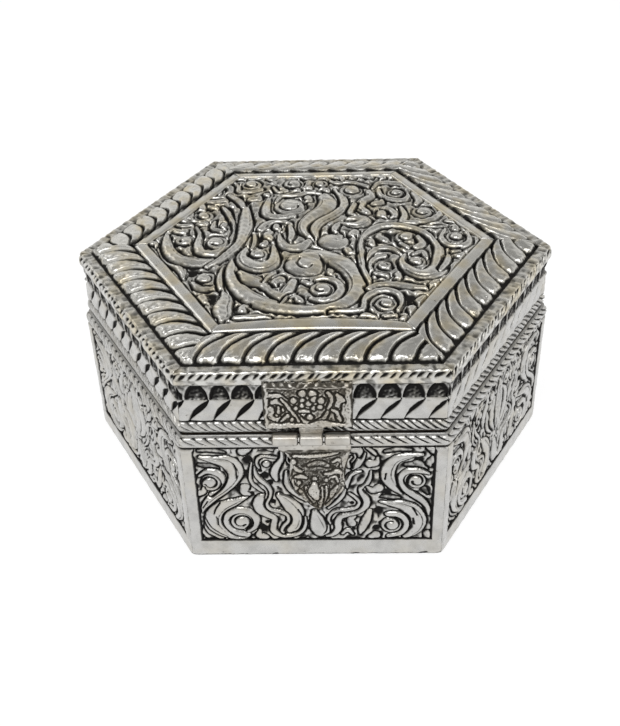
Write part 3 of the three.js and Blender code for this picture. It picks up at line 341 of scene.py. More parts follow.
class Relief:
    """Heights over a grid of sheet positions; later strokes lie over earlier ones"""
    # how far past its own edge a stroke may change the sheet, and an engraved line past its middle
    REACH, LINE_REACH = 3.5, 1.2
    # distance to the nearest stroke where no stroke has been laid yet
    FAR = 9.0
    # points handled at a time when the nearest sample of a curve is sought
    BATCH = 4000
    # half widths under which a stroke rises less high, and over which it has a vein
    FULL_HALF, VEIN_HALF = 0.8, 1.5

    def __init__(self, x, y, floor, ground, edge=0.55, moat=0.5, broad=1.0, vein=0.0):
        """The edge is a stroke's height at its sides as a share of its crown's, the moat the trench's width,
        broad a factor on ribbons' half widths, and the vein where a wide ribbon's vein runs in its half"""
        self.x, self.y = x, y
        self.floor, self.ground = floor, ground
        self.edge, self.moat, self.broad, self.vein = edge, moat, broad, vein
        self.h = np.full(x.shape, float(ground))
        self.gap = np.full(x.shape, self.FAR)

    def near(self, curve, reach):
        """The points within reach of a curve, their distances and the nearest samples"""
        low, high = curve[:, :2].min(0) - reach, curve[:, :2].max(0) + reach
        inside = (self.x > low[0]) & (self.x < high[0]) & (self.y > low[1]) & (self.y < high[1])
        where = np.nonzero(inside)
        x, y = self.x[where].astype(np.float32), self.y[where].astype(np.float32)
        distance, nearest = np.empty(len(x), np.float32), np.empty(len(x), int)
        spots = curve.astype(np.float32)
        for i in range(0, len(x), self.BATCH):
            part = slice(i, i + self.BATCH)
            squares = (x[part, None] - spots[:, 0]) ** 2 + (y[part, None] - spots[:, 1]) ** 2
            nearest[part] = squares.argmin(1)
            distance[part] = np.sqrt(squares.min(1))
        return where, distance, nearest

    def lay(self, where, distance, half, crown, edge, joined=False):
        """A domed stroke with a trench beside it, or no trench where it joins the last one"""
        old = self.h[where]
        share = distance / half
        rise = (crown - self.floor) * np.minimum(1, (half / self.FULL_HALF) ** 0.4)
        dome = self.floor + rise * (edge + (1 - edge) * np.sqrt(np.clip(1 - share**2, 0, 1)))
        trench = self.floor + (old - self.floor) * smoothstep((distance - half) / self.moat - 0.3)
        cut = old if joined else np.minimum(old, trench)
        self.h[where] = np.where(share < 1, np.maximum(dome, old) if joined else dome, cut)
        self.gap[where] = np.minimum(self.gap[where], distance - half)

    def ribbon(self, points, crown, joined=False):
        curve = smooth_curve(points)
        curve[:, 2] *= self.broad
        widest = curve[:, 2].max()
        where, distance, nearest = self.near(curve, widest + self.REACH)
        self.lay(where, distance, np.maximum(curve[nearest, 2], 0.05), crown, self.edge, joined)
        if self.vein and widest > self.VEIN_HALF and not joined:
            along = np.gradient(curve[:, :2], axis=0)
            along /= np.linalg.norm(along, axis=1)[:, None] + 1e-9
            aside = curve[:, :2] + np.stack([-along[:, 1], along[:, 0]], 1) * (curve[:, 2:] * self.vein)
            count = len(curve)
            kept = aside[int(0.1 * count):int(0.9 * count)]
            self.engrave_line(np.column_stack([kept, np.full(len(kept), 0.2)]), depth=0.35)

    def joined(self, points, crown):
        """A ribbon that runs into the strokes under it, with no trench beside it"""
        self.ribbon(points, crown, joined=True)

    def engrave_line(self, curve, depth):
        where, distance, nearest = self.near(curve, self.LINE_REACH)
        self.h[where] -= depth * bell(distance / curve[nearest, 2])
        self.h[where] = np.maximum(self.h[where], self.floor)

    def engrave(self, points, depth=0.7):
        self.engrave_line(smooth_curve(points), depth)

    def bead(self, x, y, radius, crown):
        where, distance, _ = self.near(np.array([[x, y, radius]]), radius + self.REACH)
        self.lay(where, distance, np.full(len(distance), radius), crown, edge=0.4)

    def volute(self, x, y, radius, mouth, turn, crown):
        """A round boss with a spiral line that enters at the mouth's angle and winds about the eye"""
        self.bead(x, y, radius, crown)
        turns, half_width, samples = 1.05, 0.3, 14
        t = np.linspace(0, 1, samples)
        angle = math.radians(mouth) + turn * t * turns * 2 * math.pi
        out = radius * (0.98 - 0.5 * t**0.7)
        spiral = [x + out * np.cos(angle), y + out * np.sin(angle), np.full(samples, half_width)]
        self.engrave(np.stack(spiral, 1), depth=0.75)

    def pits(self, spots):
        """Deep dark ground round each spot of (x, y, radius), where no stroke lies"""
        for x, y, radius in spots:
            hollow = smoothstep(1.4 - np.hypot(self.x - x, self.y - y) / radius)
            hollow = hollow * (self.gap > 0.6 * self.moat)
            self.h = self.h - (self.h - self.floor) * hollow

    def fill(self, inside, crown, smallest, largest, count, seed=3):
        """Curled leaves laid one by one in the widest gaps that the strokes leave"""
        rng = np.random.default_rng(seed)
        for _ in range(count):
            gap = np.where(inside, self.gap, 0)
            best = np.unravel_index(gap.argmax(), gap.shape)
            radius = min(gap[best], largest)
            if radius < smallest:
                break
            px, py, angle = self.x[best], self.y[best], rng.uniform(0, 2 * math.pi)
            bend = rng.choice((-1, 1)) * 0.9
            comma = []
            for r, a, half in ((1.0, -bend, 0.16), (0.45, -0.4 * bend, 0.42), (0.3, math.pi, 0.5)):
                x, y = px + r * radius * math.cos(angle + a), py + r * radius * math.sin(angle + a)
                comma.append((x, y, half * radius))
            self.ribbon(comma, crown - rng.uniform(0, 0.3) * (crown - self.ground))

    def echo(self, pitch, crown, drop, seed=4):
        """Fills the open ground with soft ridges that run alongside the strokes"""
        start = 0.5 * self.moat
        turn = (self.gap - start) / pitch * (1 + 0.2 * lumps(self.x, self.y, 6.0, seed))
        ridge = np.sqrt(np.clip(1 - (2 * (turn % 1) - 1) ** 2, 0, 1))
        level = crown - drop * (0.5 + 0.5 * lumps(self.x, self.y, 2.6, seed + 1))
        swell = self.floor + (level - self.floor) * (0.3 + 0.7 * ridge)
        self.h = np.where(self.gap > start, np.clip(swell, self.floor, crown), self.h)


def box_blur(a, size):
    """Mean over a window of grid steps, run twice for a soft fall-off"""
    for axis in (0, 1, 0, 1):
        padding = [(size, size) if i == axis else (0, 0) for i in range(2)]
        sums = np.cumsum(np.pad(a, padding, mode="edge"), axis=axis)
        n = a.shape[axis]
        a = (np.take(sums, range(2 * size, n + 2 * size), axis) - np.take(sums, range(n), axis)) / (2 * size)
    return a


# Wear of a hollow, windows over which a spot counts as standing out, and the broad one's effect
HOLLOW_WEAR = 0.18
FINE_WINDOW, BROAD_WINDOW = 0.35, 1.1
BROAD_SHARP = 0.35


def wear_of(height, low, high, step, sharp=0.9, body=0.75):
    """How polished each point is: high and convex spots are bright, hollows hold oxide"""
    level = (height - low) / (high - low)
    fine = height - box_blur(height, max(1, round(FINE_WINDOW / step)))
    broad = height - box_blur(height, max(2, round(BROAD_WINDOW / step)))
    return np.clip(HOLLOW_WEAR + body * level + sharp * fine + BROAD_SHARP * broad, 0, 1)


def draw(relief, strokes, low, crown):
    """Draws strokes. A stroke with no kind is a ribbon, as a list of (x, y, half width). The last value of
    all but an engraved line is its height, as a share of the way from low to the crown"""
    kinds = {"ribbon": relief.ribbon, "joined": relief.joined, "bead": relief.bead, "volute": relief.volute}
    for stroke in strokes:
        kind, *shape = stroke if isinstance(stroke[0], str) else ("ribbon", *stroke)
        if kind == "engrave":
            relief.engrave(*shape)
        else:
            kinds[kind](*shape[:-1], low + (crown - low) * shape[-1])


# Meshes
def quads_between(rows):
    """The four vertex numbers of each quad between a row and the next"""
    return np.concatenate([np.stack([a[:-1], a[1:], b[1:], b[:-1]], 1) for a, b in zip(rows, rows[1:])])


def finish_mesh(name, vertices, quads, caps, wear, material, **rest):
    """A closed mesh from vertices in millimetres, smooth quads and flat end polygons"""
    mesh = bpy.data.meshes.new(name)
    mesh.vertices.add(len(vertices))
    mesh.vertices.foreach_set("co", (vertices * MM).astype(np.float32).ravel())
    corners = np.concatenate([quads.ravel(), *caps]).astype(np.int32)
    mesh.loops.add(len(corners))
    mesh.loops.foreach_set("vertex_index", corners)
    sizes = [4] * len(quads) + [len(cap) for cap in caps]
    mesh.polygons.add(len(sizes))
    mesh.polygons.foreach_set("loop_start", np.cumsum([0] + sizes[:-1]).astype(np.int32))
    mesh.polygons.foreach_set("use_smooth", np.arange(len(sizes)) < len(quads))
    mesh.update(calc_edges=True)
    levels = mesh.attributes.new("wear", "FLOAT", "POINT")
    levels.data.foreach_set("value", wear.ravel().astype(np.float32))
    mesh.materials.append(material)
    return place(mesh, name, **rest)


def place(mesh, name, body, replaced, slot, turn=0.0):
    """An object that rides its body and stands for the CAD nodes that it replaces"""
    piece = add_object(name, mesh)
    piece.rotation_euler.z = turn
    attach(piece, body)
    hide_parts(*replaced)
    return piece


def sheet(name, front, back, wear, rim=0.0, **rest):
    """A closed sheet from front and back grids of points, seen from outside, with rows going up"""
    columns = front.shape[1]
    index = np.arange(front.shape[0] * columns).reshape(-1, columns)
    behind = index.size + np.arange(back.shape[0] * columns).reshape(-1, columns)
    ring = np.concatenate([index, behind[::-1], index[:1]])
    caps = [ring[:-1, 0], ring[:0:-1, -1]]
    vertices = np.concatenate([front.reshape(-1, 3), back.reshape(-1, 3)])
    levels = np.concatenate([wear.ravel(), np.full(behind.size, rim)])
    return finish_mesh(name, vertices, quads_between(ring), caps, levels, **rest)


def backed(front, axis, level, rows=(0, -1)):
    """The back of a sheet: some rows of its front grid, moved to a level along one axis"""
    back = front[list(rows)].copy()
    back[..., axis] = level
    return back


def turned_solid(name, points, wear, **rest):
    """A closed solid from rings of points, with flat ends"""
    index = np.arange(wear.size).reshape(wear.shape)
    ring = np.concatenate([index, index[:, :1]], 1)
    caps = [index[0], index[-1][::-1]]
    return finish_mesh(name, points.reshape(-1, 3), quads_between(ring)[:, ::-1], caps, wear, **rest)


class Corner:
    """Positions along one side of the hexagon, with the corners rounded about one centre"""

    def __init__(self, out, radius):
        self.centre = out - radius
        self.half = self.centre * TAN30 + radius * HALF_SIDE

    def split(self, out):
        """The radius of the round part, and half the straight part's length, at a distance out"""
        return np.maximum(out - self.centre, 0), np.minimum(out, self.centre) * TAN30

    def along(self, share, out):
        """Length along the side, for a share from -1 to 1"""
        radius, straight = self.split(out)
        return share * (straight + radius * HALF_SIDE)

    def point(self, share, out, z):
        """Points at shares along the side, at a distance out from the middle and a height"""
        radius, straight = self.split(out)
        along = self.along(share, out)
        turned = np.where(radius > 0, np.maximum(np.abs(along) - straight, 0) / np.maximum(radius, 1e-6), 0)
        x = np.where(turned > 0, np.sign(along) * (straight + radius * np.sin(turned)), along)
        y = -np.where(turned > 0, np.minimum(out, self.centre) + radius * np.cos(turned), out)
        return np.stack(np.broadcast_arrays(x, y, z), -1)


# Room beside the hinge leaves, height that they take from a back sheet, and reach of the rows that give way
SPAN_MARGIN = 0.3
NOTCH = 0.95
SQUEEZE_REACH = 3.0


def hinge_span(hand):
    """Stretch along the back side that a hinge's leaves fill, in that side's own frame"""
    low, high = node_box(f"hinge_lower_leaf_{hand}")
    return -high[0] - SPAN_MARGIN, -low[0] + SPAN_MARGIN


HINGE_SPANS = [hinge_span("right"), hinge_span("left")]


def notched(points, start, end):
    """Squeezes the rows between the start height and the end height out of the way of the hinge leaves"""
    points = points.copy()
    x, z = points[..., 0], points[..., 2]
    hit = np.any([(x > a) & (x < b) for a, b in HINGE_SPANS], axis=0)
    reach = SQUEEZE_REACH if end > start else -SQUEEZE_REACH
    along = (z - start + reach) / reach
    squeezed = start - reach + along * reach * reach / (reach + end - start)
    points[..., 2] = np.where(hit & (along > 0), squeezed, z)
    return points


def six_sides(piece, node, grids, wear, body, metal, rim=0.0, notch=None):
    """One sheet on all six sides, with a notch for the hinges in the back one if its heights are given"""
    shared = None
    for i, side in enumerate(SIDES):
        name = f"{piece}_{side}"
        rest = dict(body=body, replaced=(node.format(side),), turn=i * SIXTH_TURN)
        if notch and side == "back":
            cut = [notched(points, *notch) for points in grids]
            sheet(name, *cut, wear, rim, **metal, **rest)
        elif shared is None:
            shared = sheet(name, *grids, wear, rim, **metal, **rest).data
        else:
            place(shared, name, slot=metal["slot"], **rest)


ROPE_DEPTH = 0.7


def rope(along, up, pitch, slant, slits, start):
    """A half-round rope moulding, up from 0 to 1 across it; its slits begin at the start height"""
    phase = ((along - slant * (up - 0.5)) / pitch + 0.09 * lumps(along, 0 * along, 5.0, 21)) % 1 - 0.5
    domed = np.sqrt(np.clip(1 - (2 * up - 1) ** 2, 0, 1))
    wide = slits * (1 + 0.35 * lumps(along, up, 3.0, 22))
    slit = smoothstep((np.abs(phase) - 0.5 + 0.5 * wide) / 0.1 + 0.5) * smoothstep((up - start) / 0.12)
    return ROPE_DEPTH * (domed - 1) - 0.8 * ROPE_DEPTH * slit * smoothstep((1.02 - up) / 0.1)


# Embossed design of the side panels, in points of (place along the side, height, half width)
LEFT_PANEL = [
    ([(-26.3, 32.9, 0.3), (-23.5, 33.0, 0.5), (-20.3, 32.4, 0.3)], 0.5),
    ([(-26.4, 28.8, 0.4), (-24.2, 28.3, 0.8), (-22.3, 27.6, 0.5)], 0.45),
    ([(-26.3, 12.3, 0.3), (-25.4, 8.2, 0.9), (-22.8, 5.9, 0.8)], 0.65),
    ([(-26.0, 31.2, 0.3), (-22.6, 30.3, 0.9), (-19.6, 29.4, 1.8), (-18.1, 26.6, 1.7), (-18.9, 23.7, 1.2),
      (-21.0, 21.2, 1.0), (-23.7, 19.0, 1.1), (-25.7, 16.5, 0.8), (-26.5, 14.2, 0.3)], 1.0),
    ([(-24.2, 19.9, 0.5), (-22.2, 22.0, 0.5), (-21.2, 24.4, 0.65), (-22.3, 26.3, 0.75), (-24.5, 26.9, 0.6),
      (-26.4, 25.6, 0.4)], 0.95),
    ("volute", -24.1, 23.3, 2.3, 215, -1, 1.0),
    ([(-15.6, 19.0, 0.2), (-18.5, 17.5, 0.9), (-21.5, 15.8, 1.7), (-23.7, 13.0, 2.2), (-23.8, 10.0, 1.9),
      (-22.0, 7.6, 1.3), (-19.2, 6.2, 0.8), (-16.4, 5.8, 0.4)], 1.0),
    ([(-16.3, 6.6, 0.6), (-19.0, 7.8, 0.9), (-20.7, 10.2, 1.0), (-20.4, 12.8, 1.1), (-18.3, 14.4, 1.1),
      (-15.9, 14.0, 1.1), (-14.3, 11.8, 1.0), (-14.6, 9.4, 0.8), (-16.0, 7.9, 0.5)], 1.0),
    ("volute", -17.6, 11.0, 2.5, -60, 1, 1.05),
    ([(-8.4, 19.4, 0.6), (-6.5, 17.2, 1.5), (-4.9, 14.4, 1.9), (-4.6, 11.6, 1.7), (-5.0, 9.4, 1.3),
      (-6.2, 8.2, 0.7)], 1.05),
    ([(-12.0, 19.7, 0.3), (-12.8, 18.6, 0.95), (-13.3, 16.7, 1.25), (-12.9, 14.7, 1.1), (-11.4, 13.2, 0.75),
      (-9.8, 12.0, 0.65), (-10.0, 9.9, 0.75), (-10.1, 8.1, 0.75), (-9.0, 6.8, 0.65), (-6.8, 6.2, 0.55),
      (-4.6, 6.7, 0.5), (-3.1, 8.0, 0.45), (-2.4, 10.0, 0.4), (-2.4, 12.2, 0.2)], 0.95),
    ([(-13.9, 28.1, 0.2), (-13.5, 25.9, 0.4), (-12.4, 24.1, 0.5), (-11.1, 22.6, 0.45), (-10.3, 20.7, 0.4),
      (-10.5, 18.7, 0.35), (-11.3, 16.7, 0.35), (-10.8, 15.1, 0.4), (-9.3, 14.4, 0.45), (-7.7, 13.9, 0.45),
      (-6.5, 12.7, 0.45), (-6.5, 11.0, 0.45), (-7.5, 9.6, 0.45), (-8.1, 8.1, 0.4), (-7.7, 7.0, 0.2)], 1.0),
    ([(-14.3, 29.3, 0.15), (-14.7, 26.7, 0.3), (-14.8, 24.4, 0.35), (-14.2, 22.7, 0.35), (-13.0, 21.4, 0.35),
      (-12.0, 20.3, 0.2)], 1.0),
    ([(-8.3, 30.6, 0.2), (-9.8, 31.0, 0.3), (-11.4, 31.3, 0.35), (-12.7, 30.6, 0.4), (-13.1, 29.0, 0.3),
      (-12.6, 27.6, 0.2)], 0.95),
    ("bead", -10.9, 28.9, 0.9, 0.8),
    ([(-7.2, 32.4, 0.45), (-7.3, 30.4, 0.55), (-8.6, 28.1, 0.8), (-9.2, 26.1, 0.85),
      (-8.8, 24.1, 0.45)], 0.9),
    ("engrave", [(-18.4, 29.3, 0.18), (-17.9, 27.2, 0.25), (-17.9, 24.9, 0.18)]),
    ("engrave", [(-22.3, 17.1, 0.18), (-23.3, 15.4, 0.2), (-23.8, 13.8, 0.15)]),
    ("engrave", [(-23.3, 12.9, 0.15), (-23.2, 10.2, 0.2)]),
    ("engrave", [(-26.3, 15.7, 0.15), (-25.0, 17.8, 0.18)]),
    ("engrave", [(-26.5, 13.4, 0.2), (-25.0, 9.6, 0.28), (-23.2, 7.7, 0.28), (-21.2, 6.4, 0.2)]),
    ("engrave", [(-4.0, 15.0, 0.15), (-3.2, 12.7, 0.2), (-3.1, 10.7, 0.25), (-3.8, 8.7, 0.2),
                 (-5.2, 7.4, 0.15)]),
]
RIGHT_PANEL = [
    ([(14.6, 30.6, 0.3), (13.2, 32.3, 0.5), (12.0, 33.2, 0.3)], 0.6),
    ([(16.2, 32.2, 0.4), (19.0, 32.7, 0.5), (22.0, 32.6, 0.3)], 0.5),
    ([(21.0, 28.2, 0.5), (23.6, 28.4, 0.9), (25.6, 27.2, 0.5)], 0.5),
    ([(25.4, 20.8, 0.6), (26.3, 19.3, 0.3)], 0.4),
    ([(15.5, 18.5, 0.3), (17.6, 18.3, 0.6), (19.6, 18.1, 0.4)], 0.45),
    ([(24.6, 31.3, 0.3), (21.5, 31.0, 0.7), (18.5, 29.8, 1.1), (17.0, 27.2, 1.5), (16.9, 24.5, 1.5),
      (18.2, 22.0, 1.2), (20.0, 20.1, 0.8)], 1.0),
    ([(26.2, 25.6, 0.3), (24.2, 26.4, 0.6), (21.6, 26.5, 0.7), (20.0, 25.2, 0.65), (19.8, 23.2, 0.6),
      (20.8, 21.0, 0.7), (22.8, 19.2, 0.8), (25.0, 17.2, 0.8), (26.3, 15.0, 0.6), (26.4, 12.8, 0.4)], 1.0),
    ("volute", 23.4, 23.4, 2.1, 195, -1, 1.0),
    ([(15.2, 17.0, 0.2), (17.8, 16.4, 0.7), (20.4, 15.8, 1.3), (22.9, 14.0, 1.8), (24.4, 11.3, 1.7),
      (24.2, 8.7, 1.3), (22.8, 6.9, 0.9), (21.2, 5.8, 0.5)], 1.0),
    ([(17.2, 5.9, 0.4), (20.0, 7.0, 0.7), (21.3, 9.3, 0.8), (20.9, 11.6, 0.8), (19.2, 13.0, 0.8),
      (17.0, 13.1, 0.6)], 1.0),
    ("volute", 17.9, 9.6, 2.4, 95, -1, 1.05),
    ([(-0.2, 14.1, 0.6), (0.3, 11.6, 1.5), (0.9, 9.2, 2.1), (1.3, 7.9, 1.9)], 1.05),
    ([(13.0, 26.4, 0.2), (12.7, 24.4, 0.45), (11.8, 22.4, 0.5), (10.6, 21.3, 0.45), (10.8, 19.9, 0.55),
      (11.9, 17.9, 0.85), (11.7, 15.9, 0.9), (10.2, 14.1, 0.65), (8.1, 13.1, 0.55), (6.1, 12.4, 0.65),
      (5.3, 10.7, 0.8), (5.3, 8.4, 0.8), (4.1, 6.6, 0.5), (2.5, 6.0, 0.25)], 1.0),
    ([(7.9, 19.7, 0.25), (9.4, 18.4, 0.4), (10.3, 16.9, 0.4), (9.6, 15.3, 0.4), (7.5, 14.6, 0.45),
      (4.9, 14.3, 0.4), (3.6, 13.2, 0.4), (3.1, 11.6, 0.4), (3.5, 10.1, 0.25)], 1.0),
    ([(7.1, 21.0, 0.3), (6.4, 19.0, 0.45), (5.0, 17.0, 0.4), (3.1, 15.1, 0.25)], 0.95),
    ([(7.5, 21.6, 0.3), (7.5, 23.6, 0.7), (8.2, 25.3, 0.55), (9.3, 26.1, 0.45), (10.7, 26.4, 0.25)], 0.95),
    ([(11.5, 31.6, 0.3), (10.7, 30.1, 0.75), (9.7, 28.4, 0.8), (8.7, 27.3, 0.4)], 0.85),
    ([(8.5, 30.7, 0.25), (7.5, 29.6, 0.55), (7.9, 27.9, 0.45)], 0.85),
    ([(12.8, 14.1, 0.6), (12.0, 11.3, 1.0), (11.0, 8.4, 0.85), (10.5, 6.7, 0.3)], 0.85),
    ([(6.3, 6.7, 0.3), (7.6, 7.9, 0.55), (8.8, 6.6, 0.35)], 0.8),
    ("engrave", [(2.0, 12.1, 0.15), (2.6, 10.1, 0.25), (2.6, 8.3, 0.2), (1.9, 7.0, 0.15)]),
    ("engrave", [(16.3, 26.0, 0.2), (16.1, 24.2, 0.2)]),
    ("engrave", [(22.8, 15.2, 0.18), (23.9, 12.8, 0.22)]),
    ("engrave", [(22.9, 12.0, 0.15), (23.2, 10.0, 0.2)]),
    ("engrave", [(19.6, 18.6, 0.2), (22.6, 17.8, 0.25), (24.8, 15.8, 0.28), (25.6, 13.8, 0.2)]),
]
# The hasp hides this leaf on the front side; the other sides show it
MIDDLE_LEAF = [
    ([(0.6, 17.0, 0.4), (0.7, 20.5, 1.3), (0.8, 24.5, 2.0), (0.7, 28.5, 1.6), (0.6, 32.2, 0.4)], 1.0),
    ([(-0.6, 17.4, 0.3), (-2.6, 20.0, 0.9), (-3.6, 23.4, 1.1), (-3.2, 26.6, 0.9), (-2.0, 28.6, 0.3)], 0.95),
    ([(1.9, 17.4, 0.3), (3.9, 20.0, 0.9), (4.9, 23.4, 1.1), (4.5, 26.6, 0.9), (3.3, 28.6, 0.3)], 0.95),
    ("volute", -4.4, 30.4, 2.0, 330, 1, 0.95),
    ("volute", 5.0, 30.4, 1.9, 210, -1, 0.95),
    ([(-2.2, 17.6, 0.3), (-4.9, 20.2, 0.6), (-6.3, 22.8, 0.7), (-6.4, 26.4, 0.4)], 0.85),
    ("engrave", [(0.7, 21.0, 0.2), (0.8, 25.0, 0.25), (0.7, 29.0, 0.2)]),
]
PANEL_PITS = [(-10.0, 17.4, 0.75), (-12.5, 26.9, 0.55), (-10.3, 23.4, 0.75), (-1.7, 10.7, 0.45),
              (-1.6, 8.4, 0.4), (6.9, 11.1, 0.6), (8.6, 10.0, 0.6), (9.0, 8.3, 0.5), (8.6, 16.7, 0.55),
              (-11.4, 10.7, 0.6), (-17.3, 21.3, 1.7), (-15.2, 30.0, 1.4), (-15.8, 26.0, 1.2),
              (-12.6, 8.6, 1.4), (-13.0, 6.4, 1.0), (-11.4, 25.4, 1.0), (-14.9, 19.8, 0.8), (16.6, 19.8, 1.3),
              (15.4, 22.6, 1.0), (25.4, 20.8, 1.2), (14.8, 14.0, 1.2), (23.8, 29.8, 1.1), (14.4, 8.6, 1.0),
              (15.2, 6.3, 0.8), (15.2, 28.6, 1.0)]
# Depths under a side sheet's face, the panel's bounds in it, and the rope over the panel
PANEL_FLOOR, PANEL_GROUND, PANEL_CROWN = 1.15, 0.75, 0.1
PANEL_HALF, PANEL_BOTTOM, PANEL_TOP = 27.3, 5.2, 33.5
SIDE_ROPE_START, SIDE_ROPE_WIDTH = 34.0, 2.7
# Radii of the rounded corners, and how deep the sheets' backs lie
SIDE_CORNER, SKIRT_CORNER, CAP_CORNER = 2.0, 1.8, 1.9
SIDE_DEPTH, SKIRT_DEPTH = 1.8, 1.85
# Wear on the sheets' backs and ends, and least wear where base and lid meet, on the base from a height up
RIM_WEAR = 0.62
PARTING_WEAR = 0.64
PARTING_START = 36.6


def outside_panel(x, z):
    """Distance outside the panel's bounds, negative inside them"""
    return np.maximum.reduce([np.abs(x) - PANEL_HALF, PANEL_BOTTOM - z, z - PANEL_TOP])


def side_heights(x, z):
    """Height of a side sheet relative to its outer face, over positions along it and up it"""
    relief = Relief(x, z, -PANEL_FLOOR, -PANEL_GROUND, edge=0.3, moat=0.52, broad=1.1, vein=0.4)
    draw(relief, MIDDLE_LEAF + LEFT_PANEL + RIGHT_PANEL, -PANEL_FLOOR, -PANEL_CROWN)
    outside = outside_panel(x, z)
    relief.fill(outside < -0.4, -PANEL_CROWN - 0.25, smallest=1.25, largest=2.2, count=12)
    relief.echo(1.25, -PANEL_CROWN - 0.2, drop=0.5)
    relief.pits(PANEL_PITS)
    h = relief.h + 0.04 * lumps(x, z, 1.1, 31)
    # posts and bottom band stand round the panel, with a fine groove against it
    plain = 0.05 * lumps(x, z, 3.2, 32) + 0.03 * lumps(x, z, 1.0, 33)
    h = np.where(outside > 0, -0.14 + plain, h)
    h -= 0.5 * bell(outside / 0.14) * (outside > -0.6)
    # the band is rounded at its foot and at its upper edge
    rounded = -0.1 - 0.25 * smoothstep((1.2 - z) / 0.9) - 0.12 * smoothstep((z - 4.4) / 0.7)
    h = np.where(z < PANEL_BOTTOM - 0.1, rounded + plain, h)
    # the rope, with a ledge above it and a groove below
    up = (z - SIDE_ROPE_START) / SIDE_ROPE_WIDTH
    h = np.where((up > 0) & (up < 1), rope(x, up, pitch=2.5, slant=-4.6, slits=0.3, start=0.28), h)
    h = np.where(up >= 1, -ROPE_DEPTH - 0.15, h)
    return np.where((z > PANEL_TOP - 0.05) & (up <= 0), -ROPE_DEPTH - 0.35, h)


def base_sides():
    corner = Corner(BASE_OUT, SIDE_CORNER)
    share, z = grid_of(360, 226, side_low[2], RIM_TOP)
    along = share * corner.half
    heights = side_heights(along, z)
    wear = wear_of(heights, -PANEL_FLOOR, -PANEL_CROWN, step=0.165, sharp=1.3)
    # black line round the panel, stains on the foot, and a rubbed upper edge
    line_width = np.where(z < PANEL_BOTTOM + 0.3, 0.26, 0.17)
    wear -= 0.5 * bell((outside_panel(along, z) - 0.05) / line_width) * (z < PANEL_TOP - 0.5)
    wear -= 0.45 * smoothstep(lumps(along * 0.5, z, 2.2, 34) * 3 - 2.0) * smoothstep((2.4 - z) / 1.6)
    wear = np.where(z > PARTING_START, np.maximum(wear, PARTING_WEAR), wear)
    grid = corner.point(share, BASE_OUT + heights, z)
    back = corner.point(share[[0, -1]], BASE_OUT - SIDE_DEPTH, z[[0, -1]])
    six_sides("embossed_side", "side_sheet_{}", (grid, back), wear, "base", SHADED_SIDE_METAL, RIM_WEAR,
              notch=(RIM_TOP - NOTCH, RIM_TOP))


base_sides()


# Skirt of the lid: rope and leaf band
LEAF_PITCH = 5.3
LEAF_FLOOR, LEAF_CROWN = 1.1, 0.3
LEAF_START, LEAF_END = 41.3, 46.9
LEAF_LEAN = 4.5
LEAF_SHIFT = 27.5
HOOD_HALF, HOOD_RISE = 2.25, 3.9
SKIRT_ROPE_START, SKIRT_ROPE_WIDTH = 0.4, 2.8


def skirt_heights(x, z):
    """Rope at the bottom; above it leaning leaves between black crescents, and hoods under the lip, darkened
    as painted shade
    """
    t = np.clip((z - LEAF_START) / (LEAF_END - LEAF_START), 0, 1)
    wander = 0.35 * lumps(x, 0 * x, 9.0, 41)
    across = (x + wander - LEAF_LEAN * t**1.15 + LEAF_SHIFT) / LEAF_PITCH % 1
    away = np.minimum(across, 1 - across) * LEAF_PITCH
    crescent = 0.8 * np.sin(math.pi * t**1.35) + 0.07
    leaf = -LEAF_CROWN - 0.5 * np.clip(0.75 - across, 0, 1) ** 2 + 0.06 * lumps(x, z, 1.8, 42)
    h = leaf - (LEAF_FLOOR + leaf) * smoothstep((crescent - away) / 0.35 + 0.5)
    # hoods: a low dome above each leaf, its darkness painted shade under the lip
    middle = (across - 0.5) * LEAF_PITCH
    ring = np.hypot(middle / HOOD_HALF, (z - LEAF_END + 0.2) / HOOD_RISE)
    hood = -0.6 - 0.35 * ring**2 + 0.1 * lumps(x, z, 1.1, 43)
    wedge = -0.45 + 0.08 * lumps(x, z, 1.3, 44)
    above = np.where(ring < 1, hood, wedge)
    above = above - (LEAF_FLOOR + above) * bell((ring - 1) / 0.11)
    h = np.where(z > LEAF_END, above, h)
    h = np.where(z < LEAF_START - 0.1, -ROPE_DEPTH - 0.5, h)
    up = (z - skirt_low[2] - SKIRT_ROPE_START) / SKIRT_ROPE_WIDTH
    h = np.where((up > 0) & (up < 1), rope(x, up, pitch=1.9, slant=-3.4, slits=0.42, start=0.06), h)
    return np.where(up <= 0, -ROPE_DEPTH - 0.1, h)


def skirt_sides():
    corner = Corner(SKIRT_OUT, SKIRT_CORNER)
    low = skirt_low[2]
    share, z = grid_of(330, 84, low, skirt_high[2])
    heights = skirt_heights(share * corner.half, z)
    wear = wear_of(heights, -LEAF_FLOOR, -LEAF_CROWN, step=0.17)
    # painted shade, darker towards the lip above
    wear -= 0.22 * smoothstep((z - LEAF_END) / 0.8)
    wear = np.where(z < low + 0.5, np.maximum(wear, PARTING_WEAR), wear)
    grid = corner.point(share, SKIRT_OUT + heights, z)
    back = corner.point(share[[0, -1]], SKIRT_OUT - SKIRT_DEPTH, z[[0, -1]])
    six_sides("embossed_skirt", "skirt_sheet_{}", (grid, back), wear, "lid", SHADED_SIDE_METAL, RIM_WEAR,
              notch=(low + NOTCH, low))


skirt_sides()


# Cap of the lid: lip, dashed shoulder, border and gadroons, in one wedge that stands on all six sides
GADROON_OUT, GADROON_IN = 48.1, 39.1
GADROON_PITCH = 5.25
GADROON_SHIFT = -1.6
GADROON_GROUND = -0.3
# A gadroon's half width at shares of the way in
GADROON_HALVES = ((0.0, 2.15), (0.1, 2.3), (0.25, 2.3), (0.45, 1.85), (0.7, 1.25), (0.9, 0.8), (1.0, 0.5))
DASH_PITCH = 1.95
SHOULDER_START, SHOULDER_HEIGHT = 52.75, 1.35
SHOULDER_END = SHOULDER_START + SHOULDER_HEIGHT
